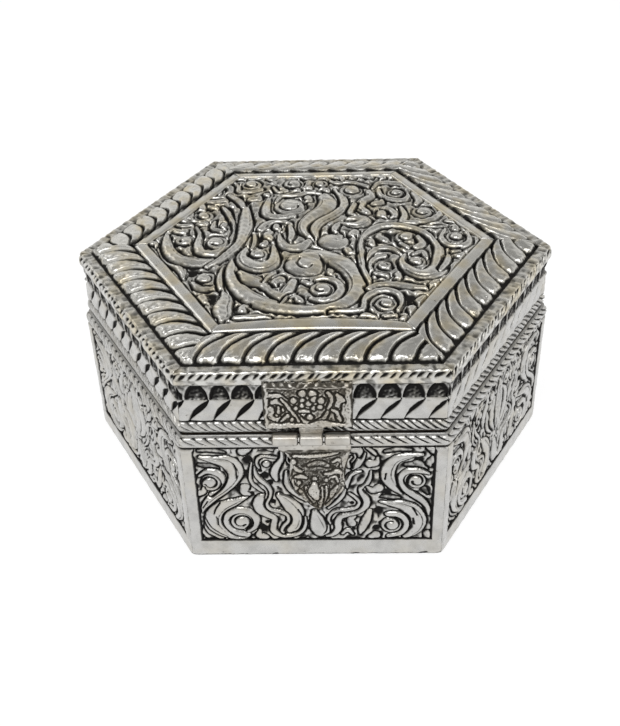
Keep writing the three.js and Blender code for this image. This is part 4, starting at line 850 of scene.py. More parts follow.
# The border lies outside this distance; it and the gadroons lie above this height
BORDER_IN = GADROON_OUT + 0.4
TOP_START = 54.3
CAP_SECTION = [(50.2, 51.25), (51.1, 51.2), (51.4, 51.5), (51.45, 52.2), (51.35, 52.8), (51.2, 53.8),
               (50.8, 54.3), (50.3, 54.4), (48.3, 54.4), (43.6, 55.3), (39.5, 56.12), (39.1, 56.0)]
CAP_BACK = [(49.7, 51.3), (39.1, 55.3)]


def cap_profile(rows):
    """Points and outward directions along the cap's section, evenly spaced"""
    p = smooth_curve([(o, z, 0) for o, z in CAP_SECTION], 0.05)[:, :2]
    run = np.concatenate([[0], np.cumsum(np.hypot(*np.diff(p, axis=0).T))])
    even = np.linspace(0, run[-1], rows)
    p = np.stack([np.interp(even, run, p[:, i]) for i in range(2)], 1)
    along = np.gradient(p, axis=0)
    along /= np.linalg.norm(along, axis=1)[:, None]
    return p, np.stack([along[:, 1], -along[:, 0]], 1)


def gadroons(x, out):
    """Leaf-shaped petals that lean along the side, each over the one before"""
    relief = Relief(x, -out, floor=-0.45, ground=GADROON_GROUND, edge=0.3, moat=0.75)
    width = GADROON_OUT - GADROON_IN
    rng = np.random.default_rng(8)
    for i in range(-9, 9):
        s = i * GADROON_PITCH + GADROON_SHIFT + rng.uniform(-0.35, 0.35)
        points = []
        for t, half in GADROON_HALVES:
            along = 0.6 * t * (1 - t) + 1.1 * t**2
            deep = 0.14 + 0.875 * (1.4 * t * (1 - t) + t**2)
            points.append((s + along * width, deep * width - GADROON_OUT, half))
        relief.ribbon(points, crown=0.95)
        # a thin crease along the petal's leaning side
        relief.engrave([(px + 0.7 * half, py - 0.3 * half, 0.15) for px, py, half in points[2:]], depth=0.25)
    roll = np.sqrt(np.clip((GADROON_OUT - out + 0.25 * lumps(x, out, 3.0, 56)) / 1.1, 0, 1))
    dents = 0.1 * lumps(x, out, 1.1, 58) * smoothstep((out - GADROON_OUT + 2.4) / 1.2)
    return (relief.h - GADROON_GROUND) * roll + GADROON_GROUND + 0.05 * lumps(x, out, 1.6, 51) + dents


def cap_heights(x, out, z):
    """Relief over the cap's section"""
    h = 0.04 * lumps(x, out + z, 2.4, 52) * (z > TOP_START)
    h = np.where((out < GADROON_OUT) & (z > TOP_START), gadroons(x, out), h)
    # grooves along the gadroons' outer and inner ends
    h -= 0.45 * bell((out - GADROON_OUT - 0.1) / 0.2) * (z > 54)
    h -= 0.5 * bell((out - GADROON_IN - 0.2) / 0.25) * (z > 54)
    # leaning dashes along the shoulder
    across = np.clip((z - SHOULDER_START) / SHOULDER_HEIGHT, 0, 1)
    turn = (x - 1.2 * across) / DASH_PITCH + 0.16 * lumps(x, 0 * x, 4.0, 53)
    wide = 0.15 + 0.15 * across * (1 + 0.8 * lumps(x, 0 * x, 3.0, 54))
    dashes = (0.1 - 0.6 * bell((turn % 1 - 0.5) / wide)) * np.sin(math.pi * across) ** 0.4
    h += np.where((z > SHOULDER_START) & (z < SHOULDER_END), dashes, 0)
    # dents of the border and the lip
    h += 0.1 * lumps(x, z, 1.7, 59) * ((z > 53.7) & (out > BORDER_IN))
    return h + 0.07 * lumps(x, 0 * x, 3.4, 55) * (z < SHOULDER_START)


def lid_cap():
    corner = Corner(LIP_OUT, CAP_CORNER)
    profile, outward = cap_profile(rows=74)
    share, out = np.meshgrid(np.linspace(-1, 1, 224), profile[:, 0])
    z = profile[:, 1:] + 0 * share
    along = corner.along(share, out)
    heights = cap_heights(along, out, z)
    wear = wear_of(heights, -0.6, 0.75, step=0.24, body=0.8)
    wear -= 0.5 * smoothstep((GADROON_IN + 1.1 - out) / 0.7)
    plain = (z < SHOULDER_START) | (out > BORDER_IN)
    dirt = 0.24 * smoothstep(0.4 + 1.4 * lumps(along * 0.7, (z - out) * 1.3, 2.2, 57))
    wear = np.where(plain, np.clip(0.86 - dirt + 1.6 * heights, 0, 0.95), wear)
    grid = corner.point(share, out + heights * outward[:, :1], z + heights * outward[:, 1:])
    back_out, back_up = np.array(CAP_BACK).T[..., None]
    back = corner.point(share[:2], back_out, back_up)
    six_sides("lid_cap", "lid_cap", (grid, back), wear, "lid", LID_METAL)


lid_cap()


# Flat frame round the scroll panel: the front strip bows towards the back
FRAME_SECTION = np.array([(0.0, 0.0), (0.0, 0.5), (0.0, 0.5), (0.0, 0.75), (0.12, 0.95), (0.3, 1.0),
                          (0.7, 1.0), (0.88, 0.96), (1.0, 0.8), (1.0, 0.0)])
FRONT_BOW, OTHER_BOW = 2.2, 0.25
FRONT_OUTER_BOW = 1.1
FRAME_SLOPE = 0.3
FRAME_CLEARANCE = 0.15
MITRE_GAP, SEAT = 0.02, 0.02
SOLE_OUT = 0.27


def bowed(share):
    """A strip's bow from 0 at its ends to 1 in the middle"""
    return np.cos(share * math.pi / 2) ** 0.8


def frame_strips():
    across, height = FRAME_SECTION[:, :1], FRAME_SECTION[:, 1:]
    share = np.linspace(-1, 1, 60)[None]
    bow = bowed(share)
    for i, side in enumerate(SIDES):
        inner = FRAME_IN - (FRONT_BOW if side == "front" else OTHER_BOW) * bow
        outer = FRAME_OUT - (FRONT_OUTER_BOW if side == "front" else 0.0) * bow
        out = outer + (inner - outer) * across
        # a dark sole fills the line to the cap, also where the strip above it bows
        out[:2] = FRAME_OUT + SOLE_OUT
        top = strip_high[2] - FRAME_SLOPE * (1 - across) + 0 * out
        z = strip_low[2] + (top - strip_low[2]) * height
        x = share * ((FRAME_OUT + (FRAME_IN - FRAME_OUT) * across) * TAN30 - MITRE_GAP)
        grid = np.stack([x, -out, z], -1)
        # polished, with a dark sole and a dull inner edge
        wear = np.full(x.shape, 0.9)
        wear[:3] = 0.1
        wear[-1] = 0.3
        sheet(f"frame_{side}", grid, backed(grid, 2, strip_low[2] - SEAT), wear, rim=0.3, body="lid",
              replaced=(f"frame_strip_{side}",), turn=i * SIXTH_TURN, **LID_METAL)


frame_strips()


# Scroll panel in the middle of the lid: x to the right and y to the back
LID_SCROLLS = [
    ([(-38.5, -1.5, 0.4), (-36.6, -4.5, 0.9), (-34.2, -8.4, 1.3), (-31.6, -12.4, 1.1),
      (-30.6, -16.4, 0.4)], 0.8),
    ([(-37.0, 5.0, 0.5), (-36.6, 0.5, 1.2), (-35.2, -4.0, 1.5), (-32.6, -7.6, 1.8), (-29.0, -9.0, 2.0),
      (-25.0, -9.2, 1.6), (-22.0, -7.6, 1.0)], 0.9),
    ("volute", -32.0, 1.2, 2.7, 200, 1, 0.95),
    ([(-29.8, 8.0, 0.4), (-28.6, 4.0, 0.6), (-28.6, -1.0, 1.0), (-27.4, -4.6, 1.3), (-24.2, -5.2, 1.4),
      (-21.6, -2.4, 1.2), (-20.0, 1.8, 1.1), (-19.4, 6.0, 0.9), (-20.6, 10.0, 0.7),
      (-22.4, 14.6, 0.5)], 1.0),
    ("volute", -24.2, 0.2, 3.1, 250, -1, 0.95),
    ([(-17.9, 20.0, 0.6), (-17.6, 14.0, 1.3), (-17.4, 9.0, 1.7), (-17.8, 4.0, 1.3), (-18.6, -0.5, 1.0),
      (-20.8, -5.0, 0.9), (-23.0, -8.6, 0.7), (-25.6, -11.6, 0.5)], 0.95),
    ("volute", -25.5, -16.6, 3.0, 60, 1, 0.85),
    ([(-28.2, -18.2, 0.6), (-26.2, -20.8, 1.2), (-23.2, -20.8, 0.9)], 0.7),
    ([(-19.8, -8.5, 0.4), (-21.2, -12.0, 0.75), (-21.9, -16.0, 0.8), (-21.6, -20.0, 0.7),
      (-21.0, -22.5, 0.5)], 0.85),
    ([(-20.9, -22.4, 0.3), (-19.9, -25.2, 1.4), (-20.4, -29.0, 1.9), (-19.9, -32.4, 1.6),
      (-20.2, -34.4, 0.6)], 0.85),
    ([(-17.0, -2.6, 0.5), (-18.6, -7.5, 1.0), (-19.4, -13.0, 1.3), (-18.4, -18.5, 1.6), (-15.6, -23.6, 2.0),
      (-11.4, -27.6, 2.2), (-6.0, -30.0, 1.9), (0.0, -30.6, 1.6), (5.4, -29.0, 1.6), (9.0, -25.2, 1.8),
      (10.4, -20.2, 1.9), (9.4, -15.0, 2.2), (6.8, -10.6, 2.4), (3.0, -7.4, 2.4), (-1.0, -6.0, 1.8)], 1.0),
    ([(-9.8, -1.6, 0.5), (-9.4, -6.0, 1.0), (-9.8, -9.6, 1.6), (-12.4, -11.6, 2.2), (-15.4, -10.2, 2.2),
      (-17.0, -7.0, 1.6), (-16.4, -3.4, 0.8)], 0.9),
    ("volute", -13.4, -5.8, 2.4, 150, 1, 1.0),
    ([(-17.2, -14.2, 0.8), (-14.6, -17.2, 2.0), (-11.8, -19.4, 1.6), (-10.2, -22.0, 1.0), (-7.0, -24.4, 1.6),
      (-5.6, -21.4, 1.3), (-4.6, -18.4, 1.0)], 0.85),
    ([(-11.6, -18.6, 0.3), (-10.4, -15.8, 0.4), (-8.8, -14.0, 0.3)], 0.9),
    ("bead", -1.8, -11.2, 5.0, 1.05),
    ("joined", [(9.6, -14.6, 1.8), (7.4, -10.8, 2.1), (3.8, -8.0, 2.3), (-0.6, -7.4, 2.2),
                (-4.2, -8.6, 1.8)], 1.05),
    ("engrave", [(1.5, -7.5, 0.25), (2.6, -11.0, 0.3), (2.4, -14.0, 0.35), (0.8, -17.4, 0.3)]),
    ("engrave", [(-3.2, -8.6, 0.3), (-3.8, -10.6, 0.35), (-2.9, -12.6, 0.4), (-1.2, -13.2, 0.35),
                 (-0.2, -11.8, 0.3)]),
    ([(0.8, -18.2, 0.5), (3.4, -17.8, 0.9), (5.8, -19.4, 1.1), (6.4, -22.6, 1.1), (4.8, -25.8, 1.0),
      (2.0, -27.2, 0.8), (-0.4, -26.0, 0.5)], 0.95),
    ("volute", 2.2, -22.0, 2.9, -100, 1, 1.0),
    ([(-7.2, -27.8, 0.3), (-5.8, -25.2, 0.45), (-4.0, -23.6, 0.3)], 0.85),
    ([(-17.2, -33.4, 0.7), (-13.0, -33.1, 1.0), (-9.4, -33.5, 0.4)], 0.8),
    ([(4.0, -31.6, 0.4), (7.8, -31.6, 0.8), (11.2, -30.8, 0.7), (12.0, -26.6, 0.7), (13.6, -24.2, 0.9),
      (16.6, -23.0, 1.1), (19.4, -24.4, 1.0), (20.2, -27.6, 0.7), (19.2, -31.4, 0.5)], 0.95),
    ("volute", 16.6, -28.6, 2.7, 170, -1, 1.0),
    ([(16.2, -33.2, 0.8), (18.6, -33.0, 0.6)], 0.7),
    ([(13.0, -22.0, 0.8), (14.8, -20.4, 1.0), (18.4, -20.0, 1.2), (22.4, -21.2, 1.3),
      (26.2, -22.0, 0.8)], 0.8),
    ([(13.2, -19.2, 0.5), (12.6, -14.0, 1.1), (12.0, -8.0, 1.1), (11.6, -2.0, 0.7), (13.0, 3.2, 0.8),
      (16.4, 6.8, 1.2), (21.4, 7.2, 1.3), (26.4, 4.6, 1.2), (29.0, 1.2, 0.9), (30.6, -4.0, 1.1),
      (30.0, -9.4, 1.3), (29.6, -13.6, 2.0), (26.4, -16.2, 1.9), (23.2, -14.6, 1.5), (21.4, -10.8, 0.9),
      (22.2, -7.0, 0.5)], 1.0),
    ([(21.4, -6.6, 0.4), (18.6, -3.8, 1.0), (15.4, -4.2, 0.9), (13.6, -7.0, 0.6),
      (13.4, -10.6, 0.4)], 0.85),
    ([(14.6, -16.8, 0.6), (13.9, -12.6, 0.8), (14.6, -9.0, 0.7), (17.4, -7.4, 0.6)], 0.85),
    ("volute", 16.8, -12.2, 2.3, 20, -1, 0.95),
    ([(15.0, -15.4, 0.8), (17.4, -16.6, 0.7)], 0.8),
    ([(24.2, -6.8, 0.5), (26.6, -5.6, 0.9), (27.2, -8.4, 0.7)], 0.75),
    ("volute", 24.8, -10.2, 2.3, 120, 1, 0.95),
    ("volute", 23.2, 1.4, 3.0, 330, 1, 0.95),
    ([(26.0, 1.6, 0.7), (26.8, -1.6, 1.1), (25.0, -3.4, 0.9)], 0.8),
    ([(21.6, -1.6, 0.7), (23.0, -3.4, 0.7)], 0.8),
    ([(33.0, 5.0, 0.5), (31.9, 0.6, 0.9), (33.0, -2.6, 1.0), (36.0, -3.4, 0.9), (38.4, -1.0, 0.8),
      (38.2, 3.4, 0.6)], 0.9),
    ("volute", 35.2, 1.4, 2.4, 60, -1, 0.95),
    ([(33.8, -5.6, 0.6), (35.6, -5.2, 0.5)], 0.7),
    ([(32.8, -8.0, 0.8), (31.8, -11.0, 0.8), (30.0, -14.4, 0.5)], 0.8),
    ([(5.6, 27.4, 0.6), (7.6, 22.6, 1.0), (7.6, 17.6, 1.1), (5.0, 13.4, 1.2), (1.6, 9.8, 1.2),
      (0.2, 6.0, 1.1), (0.4, 2.0, 0.9), (1.0, -1.2, 0.5)], 0.95),
    ([(-0.4, 1.0, 0.5), (-2.4, 4.6, 1.0), (-2.6, 8.8, 1.2), (-0.6, 13.0, 1.5), (2.4, 16.6, 2.0),
      (3.6, 20.2, 2.2), (2.8, 23.4, 1.6)], 1.0),
    ([(7.4, 9.4, 0.5), (5.6, 7.4, 0.9), (5.2, 4.6, 0.9), (7.0, 2.6, 0.7)], 0.9),
    ("bead", 5.0, 0.0, 3.9, 0.95),
    ("engrave", [(4.2, 8.0, 0.3), (4.4, 4.8, 0.35), (6.4, 2.2, 0.3)]),
    ("engrave", [(7.4, 5.0, 0.2), (7.8, 2.6, 0.25), (7.0, 0.6, 0.25), (5.6, 0.0, 0.2)]),
    ([(8.6, 10.6, 0.5), (11.0, 11.6, 1.6), (13.0, 10.0, 1.6), (11.0, 8.0, 1.3), (8.0, 8.4, 0.6)], 0.95),
    ([(13.6, 14.6, 1.1), (12.0, 17.6, 1.2), (12.8, 20.8, 1.2), (15.0, 23.4, 1.2), (14.6, 26.0, 0.8)], 0.9),
    ([(10.6, 19.0, 0.8), (9.4, 14.6, 0.8), (10.6, 13.0, 0.6)], 0.85),
    ([(-8.2, 5.4, 0.4), (-6.2, 8.6, 0.9), (-8.6, 10.4, 1.2), (-11.8, 9.2, 1.4), (-13.6, 6.4, 0.8)], 0.85),
    ([(-6.0, 8.0, 0.6), (-5.4, 3.8, 0.9), (-5.9, 0.6, 0.6)], 0.9),
    ([(-8.6, 4.0, 0.4), (-8.0, 0.4, 1.0), (-6.6, -2.4, 1.5), (-3.6, -2.6, 1.6), (-1.2, 0.0, 0.9)], 0.9),
    ([(-14.8, 4.2, 0.5), (-14.6, 0.2, 0.6), (-15.2, -3.2, 0.4)], 0.8),
    ([(-12.0, 22.6, 0.6), (-12.6, 18.0, 1.0), (-12.0, 14.0, 1.3), (-8.8, 12.8, 1.4),
      (-5.4, 13.4, 0.9)], 0.9),
    ("volute", -6.2, 18.4, 4.3, -15, 1, 1.0),
    ([(-10.2, 21.0, 0.4), (-8.8, 24.0, 0.6), (-5.0, 24.6, 0.8), (-1.6, 26.0, 0.8), (1.6, 25.2, 0.6)], 0.85),
    ("volute", -12.6, 25.2, 1.7, 90, 1, 0.85),
    ("volute", -17.0, 31.4, 2.8, 20, 1, 0.9),
    ([(-22.4, 33.8, 0.5), (-20.6, 30.4, 0.6), (-20.2, 27.4, 0.8), (-17.2, 27.0, 0.8),
      (-14.2, 28.6, 0.6)], 0.8),
    ("volute", -5.6, 31.4, 2.8, 220, 1, 0.9),
    ([(-11.0, 29.6, 0.5), (-9.6, 26.6, 0.6), (-7.4, 27.6, 0.6)], 0.8),
    ("volute", 1.6, 31.2, 2.2, 330, -1, 0.85),
    ("volute", 9.8, 27.0, 3.2, 100, -1, 0.9),
    ([(4.4, 32.6, 0.5), (6.0, 31.4, 0.8), (8.6, 32.0, 0.8), (11.6, 31.0, 0.8), (14.6, 29.0, 0.8)], 0.8),
    ("volute", -33.6, 16.0, 2.4, 30, 1, 0.8),
    ("volute", -28.4, 14.2, 2.5, 60, 1, 0.85),
    ([(-36.0, 11.0, 0.4), (-34.0, 9.4, 0.9), (-31.2, 9.6, 0.7)], 0.7),
    ([(-25.4, 11.0, 0.5), (-25.6, 7.4, 0.8), (-23.4, 6.0, 0.9)], 0.8),
    ([(-30.6, 26.4, 0.4), (-30.2, 23.0, 0.7), (-27.2, 21.8, 0.9), (-23.6, 22.6, 0.9)], 0.75),
    ("volute", -26.4, 27.6, 2.5, 200, 1, 0.8),
    ([(-22.6, 25.4, 0.8), (-19.8, 22.0, 1.1), (-18.6, 18.8, 0.8)], 0.75),
    ([(-24.0, 18.8, 0.5), (-22.6, 16.2, 0.9), (-21.4, 12.6, 0.7)], 0.75),
    ([(15.6, 28.0, 0.4), (17.6, 31.2, 1.0), (21.6, 31.0, 1.3), (25.2, 29.6, 0.8)], 0.8),
    ([(17.2, 27.0, 0.6), (17.8, 23.8, 0.8), (20.0, 21.6, 1.0), (23.2, 20.8, 1.0), (25.0, 23.0, 0.6)], 0.85),
    ("volute", 21.8, 25.2, 2.4, 300, 1, 0.85),
    ([(26.6, 25.0, 0.8), (27.6, 21.4, 1.0), (26.6, 18.4, 0.6)], 0.8),
    ([(18.0, 16.6, 0.6), (20.0, 15.6, 1.0), (21.0, 12.8, 0.8), (19.6, 11.4, 0.4)], 0.85),
    ([(22.6, 17.2, 0.5), (23.4, 13.2, 0.8), (22.8, 9.6, 1.0), (25.4, 8.8, 1.0), (29.6, 10.2, 1.0),
      (32.4, 13.6, 0.8), (33.4, 17.0, 0.5)], 0.85),
    ("volute", 28.2, 14.4, 3.0, 290, 1, 0.85),
    ([(31.0, 22.0, 0.5), (32.2, 18.8, 0.7), (34.6, 14.6, 0.6)], 0.75),
    ([(34.0, 9.6, 0.8), (36.6, 9.2, 1.0), (38.6, 6.0, 0.5)], 0.75),
    ([(27.0, 7.2, 0.4), (30.6, 6.6, 0.6), (33.6, 7.0, 0.4)], 0.75),
]
LID_PITS = [(-13.0, 1.6, 2.2), (-28.9, -13.4, 1.6), (-24.0, -25.4, 2.2), (-16.4, -30.4, 2.0),
            (-8.4, -18.0, 1.5), (-3.2, -27.6, 1.5), (21.6, -27.0, 1.8), (17.6, 1.4, 2.2), (17.0, 13.2, 1.9),
            (-8.2, -8.4, 1.0), (12.0, -32.2, 1.2)]
SCROLL_TOP = 57.35
SCROLL_GROUND = 56.7
SCROLL_FLOOR = 55.45
SCROLL_BACK = 55.15


def scroll_panel():
    share, y = grid_of(312, 268, -PANEL_OUT, PANEL_OUT)
    half = PANEL_OUT / COS30 - np.abs(y) * TAN30
    x = share * half
    relief = Relief(x, y, SCROLL_FLOOR, SCROLL_GROUND, edge=0.2, moat=0.5, broad=1.25, vein=0.5)
    draw(relief, LID_SCROLLS, SCROLL_FLOOR, SCROLL_TOP)
    slanted = (half - np.abs(x)) * COS30
    bow = FRONT_BOW * bowed(np.clip(x / (FRAME_IN * TAN30), -1, 1))
    under_frame = FRAME_IN - bow - FRAME_CLEARANCE + y
    edge = np.minimum.reduce([PANEL_OUT - np.abs(y), slanted, under_frame])
    relief.fill(edge > 0.7, SCROLL_TOP - 0.15, smallest=1.3, largest=2.4, count=40)
    relief.echo(2.1, SCROLL_TOP - 0.15, drop=0.7)
    relief.pits(LID_PITS)
    raised = relief.h - SCROLL_FLOOR + 0.06 * lumps(x, y, 1.5, 61)
    h = SCROLL_FLOOR + raised * smoothstep((edge + 0.1) / 0.6)
    wear = wear_of(h, SCROLL_FLOOR, SCROLL_TOP, step=0.26)
    grid = np.stack([x, y, h], -1)
    sheet("lid_scroll_panel", grid, backed(grid, 2, SCROLL_BACK), wear, body="lid",
          replaced=("scroll_panel",), **LID_METAL)


scroll_panel()


# Clasp plate, knuckles and hasp
CLASP_AXIS = (pin_low[2] + pin_high[2]) / 2
CLASP_OUT = -(pin_low[1] + pin_high[1]) / 2
KNUCKLE = 1.4
KNUCKLE_GAP = 0.3
TONGUE_HALF = 2.6
TONGUE_MIDDLE = (pin_low[0] + pin_high[0]) / 2
PLATE_MIDDLE = (plate_low[0] + plate_high[0]) / 2
# Half the plate's width, and half sizes of the field inside its border
PLATE_HALF = 9.5
FIELD_HALF, FIELD_HALF_HEIGHT = 8.4, 4.9
PLATE_BACK = LIP_OUT + 0.3
PLATE_FACE = PLATE_BACK + 1.3
PLATE_FLOOR, PLATE_GROUND = -0.95, -0.45
# The plate's upper edge is turned back over this height
FOLD = 0.8
# Strokes from the plate's middle, to the right and up
PLATE_STROKES = [
    ([(-2.8, -1.6, 0.3), (-1.4, -3.8, 0.5), (0.8, -4.6, 0.5), (3.2, -3.6, 0.5), (4.4, -1.4, 0.3)], 0.75),
    ([(-8.2, 3.0, 0.5), (-6.2, 2.6, 0.8), (-4.8, 1.6, 0.5)], 0.85),
    ([(-7.6, 1.2, 0.5), (-6.4, 1.4, 0.7), (-5.4, 0.6, 0.4)], 0.9),
    ([(-8.0, -0.6, 0.6), (-7.4, -2.8, 0.9), (-5.6, -4.0, 0.6)], 0.85),
    ([(-6.8, -2.4, 0.3), (-5.4, -1.0, 0.45)], 0.9),
    ([(-5.8, -4.0, 0.3), (-4.4, -2.6, 0.45)], 0.85),
    ([(-6.4, -0.2, 0.3), (-6.2, -1.6, 0.4)], 0.8),
    ([(-5.6, 2.0, 0.25), (-3.8, -0.8, 0.35), (-2.0, -4.2, 0.3)], 1.0),
    ("bead", -1.1, 3.5, 0.85, 1.0), ("bead", 1.1, 3.4, 0.9, 1.0), ("bead", -3.0, 1.6, 0.75, 0.95),
    ("bead", -1.1, 1.5, 0.6, 0.8), ("bead", -1.2, 0.2, 0.55, 0.95), ("bead", 0.2, 0.8, 0.65, 1.0),
    ("bead", 1.4, 1.9, 0.75, 0.95), ("bead", 2.9, 1.5, 0.8, 1.0), ("bead", 1.3, -0.6, 0.55, 0.9),
    ("bead", -2.6, -0.6, 0.55, 0.85), ("bead", 2.6, -0.3, 0.6, 0.75), ("bead", 0.4, -3.0, 0.7, 0.95),
    ([(-1.8, -1.4, 0.3), (-0.8, -1.3, 0.4), (0.2, -1.5, 0.3)], 0.95),
    ([(4.4, 3.6, 0.4), (5.2, 1.4, 0.5), (4.4, -0.6, 0.4)], 0.8),
    ([(6.2, 3.0, 0.4), (7.2, 1.6, 0.8), (6.4, 0.2, 0.6)], 0.9),
    ([(7.8, 0.4, 0.4), (8.0, -1.8, 0.7), (7.6, -4.0, 0.5)], 0.9),
    ([(5.2, -1.2, 0.3), (6.4, -2.0, 0.45), (6.8, -4.0, 0.4)], 0.85),
    ([(0.6, -5.1, 0.4), (3.0, -4.6, 0.55), (5.6, -4.9, 0.4)], 0.85),
    ([(-5.4, -4.9, 0.3), (-3.4, -4.7, 0.45)], 0.95),
    ("bead", -3.4, -3.7, 0.5, 1.0),
]


def clasp_plate():
    bottom, top = CLASP_AXIS + KNUCKLE + 0.8, plate_high[2]
    half_height = (top - bottom) / 2
    u, v = grid_of(230, 150, -half_height, half_height, across=PLATE_HALF)
    relief = Relief(u, v, PLATE_FLOOR, PLATE_GROUND)
    draw(relief, PLATE_STROKES, PLATE_FLOOR, 0.0)
    h = relief.h + 0.07 * lumps(u, v, 1.1, 5) + 0.05 * lumps(u, v, 0.5, 6)
    # a raised border, beaded and notched along its top
    border = np.maximum(np.abs(u + 0.2) - FIELD_HALF, np.abs(v - 0.1) - FIELD_HALF_HEIGHT)
    notch = 0.5 * bell(u / 1.1) * (v > 3)
    beads = 0.07 * np.cos(u * 3.3 + 2.5 * lumps(u, v, 3.0, 17)) * (v > 4.2)
    raised = -0.12 + beads + 0.1 * lumps(u, v, 0.9, 7) - notch
    h = h + (raised - h) * smoothstep((border + 0.35) / 0.5)
    edge = np.minimum(PLATE_HALF - np.abs(u), half_height - np.abs(v))
    h = h - 0.5 * smoothstep(1 - edge / 0.45)
    wear = wear_of(h, PLATE_FLOOR, 0.0, step=0.083, sharp=1.2, body=0.6)
    # the upper edge folds back to the lid and is hammered there
    turned = np.clip((v - half_height + FOLD) / FOLD, 0, 1)
    fold = (PLATE_FACE - PLATE_BACK - 0.6) * (1 - np.sqrt(1 - turned**2))
    h = h - fold
    hammered = lumps(u, v + fold, 1.5, 18)
    wear = np.where(turned > 0, 0.45 + 0.4 * hammered, wear)
    # an uneven outline
    x = PLATE_MIDDLE + u + 0.22 * lumps(v, u, 2.6, 8) * np.abs(u) / PLATE_HALF
    z = (bottom + top) / 2 + v + 0.18 * lumps(u, v, 3.1, 9) * np.abs(v) / half_height
    z -= 0.25 * smoothstep(0.5 - hammered) * smoothstep(turned * 2)
    front = np.stack([x, -(PLATE_FACE + h), z], -1)
    sheet("clasp_plate_cast", front, backed(front, 1, -PLATE_BACK), wear, rim=0.75, body="lid",
          replaced=("clasp_plate",), **CAST_METAL)


def rod(name, x0, x1, out, height, radius, flat=0.0, **rest):
    """A rolled tube along x with softly rounded ends, a seam, and a section squared by its flatness"""
    rounds, around = 26, 40
    t = np.linspace(0, 1, rounds)
    x = x0 + (x1 - x0) * (0.5 - 0.5 * np.cos(math.pi * t))
    edge = np.minimum(x - x0, x1 - x)
    swell = radius * (1 - 0.18 * smoothstep(1 - edge / 0.35)) * (1 - 0.02 * np.cos(x * 2.1))
    angle = np.linspace(0, 2 * math.pi, around, endpoint=False)
    seam = 1 - 0.1 * bell((angle - 4.2) / 0.12)
    squared = 1 / np.maximum(np.abs(np.cos(angle)), np.abs(np.sin(angle))) ** flat
    r = swell[:, None] * (seam * squared)[None]
    points = np.stack([x[:, None] + 0 * r, -out + r * np.cos(angle), height + r * np.sin(angle)], -1)
    wear = 0.8 - 0.5 * (1 - seam[None] + 0 * r) * 6 - 0.5 * smoothstep(1 - edge / 0.3)[:, None]
    return turned_solid(name, points, np.clip(wear, 0, 1), **rest)


def clasp_knuckles():
    left, right = TONGUE_MIDDLE - TONGUE_HALF, TONGUE_MIDDLE + TONGUE_HALF
    for name, x0, x1, body, node in (
        ("tongue", left, right, "lid", "clasp_plate"),
        ("left", pin_low[0], left - KNUCKLE_GAP, "hasp", "hasp"),
        ("right", right + KNUCKLE_GAP, pin_high[0], "hasp", "hasp"),
    ):
        rod(f"clasp_knuckle_{name}", x0, x1, CLASP_OUT, CLASP_AXIS, KNUCKLE - 0.1, flat=0.35, body=body,
            replaced=(node,), **CAST_METAL)
    # strap from the plate down to the middle knuckle
    x, z = np.meshgrid(np.linspace(left, right, 40), np.linspace(CLASP_AXIS, CLASP_AXIS + KNUCKLE + 1.0, 14))
    out = PLATE_FACE - 0.1 + 0.05 * lumps(x, z, 1.2, 11)
    front = np.stack([x, -out, z], -1)
    sheet("clasp_strap", front, backed(front, 1, -(PLATE_BACK + 0.05)), np.full(x.shape, 0.7), rim=0.6,
          body="lid", replaced=("clasp_plate",), **CAST_METAL)


# The hasp's half width at drops below the pin
HASP_OUTLINE = [(0.0, 8.6), (3.0, 8.6), (4.2, 6.6), (6.0, 5.9), (10.0, 5.8), (12.4, 6.1), (14.4, 5.6),
                (16.2, 4.4), (18.0, 2.9), (19.3, 1.5), (20.1, 0.35)]
# Strokes by place to the right of the hasp's middle, and by height
HASP_STROKES = [
    ([(-5.2, 33.4, 0.3), (-2.0, 33.3, 0.4), (2.0, 33.7, 0.4), (4.4, 34.4, 0.35)], 1.0),
    ("bead", -5.4, 31.6, 0.75, 0.85),
    ([(-5.4, 30.4, 0.25), (-4.6, 29.4, 0.45), (-3.6, 28.8, 0.3)], 0.95),
    ([(3.4, 31.6, 0.3), (4.6, 32.2, 0.4), (5.6, 31.4, 0.35), (5.2, 30.2, 0.25)], 0.85),
    ([(1.6, 28.0, 0.25), (3.0, 28.2, 0.4), (4.2, 28.9, 0.45), (5.3, 28.2, 0.45), (5.4, 26.4, 0.3)], 1.0),
    ([(2.8, 27.0, 0.25), (3.9, 27.2, 0.35), (4.5, 26.0, 0.3)], 0.8),
    ([(-5.0, 27.2, 0.3), (-3.8, 27.4, 0.45), (-2.6, 27.0, 0.3)], 0.85),
    ([(-5.6, 26.4, 0.3), (-5.4, 24.8, 0.5), (-4.4, 23.8, 0.4)], 0.95),
    ("bead", -4.3, 25.6, 0.55, 0.8),
    ([(-1.8, 30.6, 0.5), (0.4, 31.2, 0.7), (2.2, 30.4, 0.5)], 0.55),
    ("bead", -0.7, 26.6, 0.6, 0.6), ("bead", 1.9, 26.2, 0.5, 0.65),
    ([(4.4, 24.6, 0.3), (3.0, 22.4, 0.7), (1.8, 20.6, 0.5)], 0.7),
    ([(-4.0, 23.4, 0.4), (-2.8, 21.6, 0.7), (-1.6, 20.2, 0.5)], 0.6),
    ([(-2.6, 24.2, 0.4), (-1.9, 22.6, 0.6), (-1.0, 20.6, 0.4)], 0.7),
    ([(1.9, 24.4, 0.3), (1.7, 22.6, 0.5), (1.1, 20.4, 0.4)], 0.9),
    ([(0.9, 24.2, 0.3), (0.8, 22.0, 0.4), (0.4, 19.2, 0.3)], 0.95),
    ([(-0.8, 25.0, 0.8), (-0.9, 23.4, 1.3), (-0.4, 21.8, 0.7)], 1.0),
    ([(5.6, 24.2, 0.3), (4.0, 21.6, 0.4), (1.9, 19.2, 0.35)], 1.0),
]
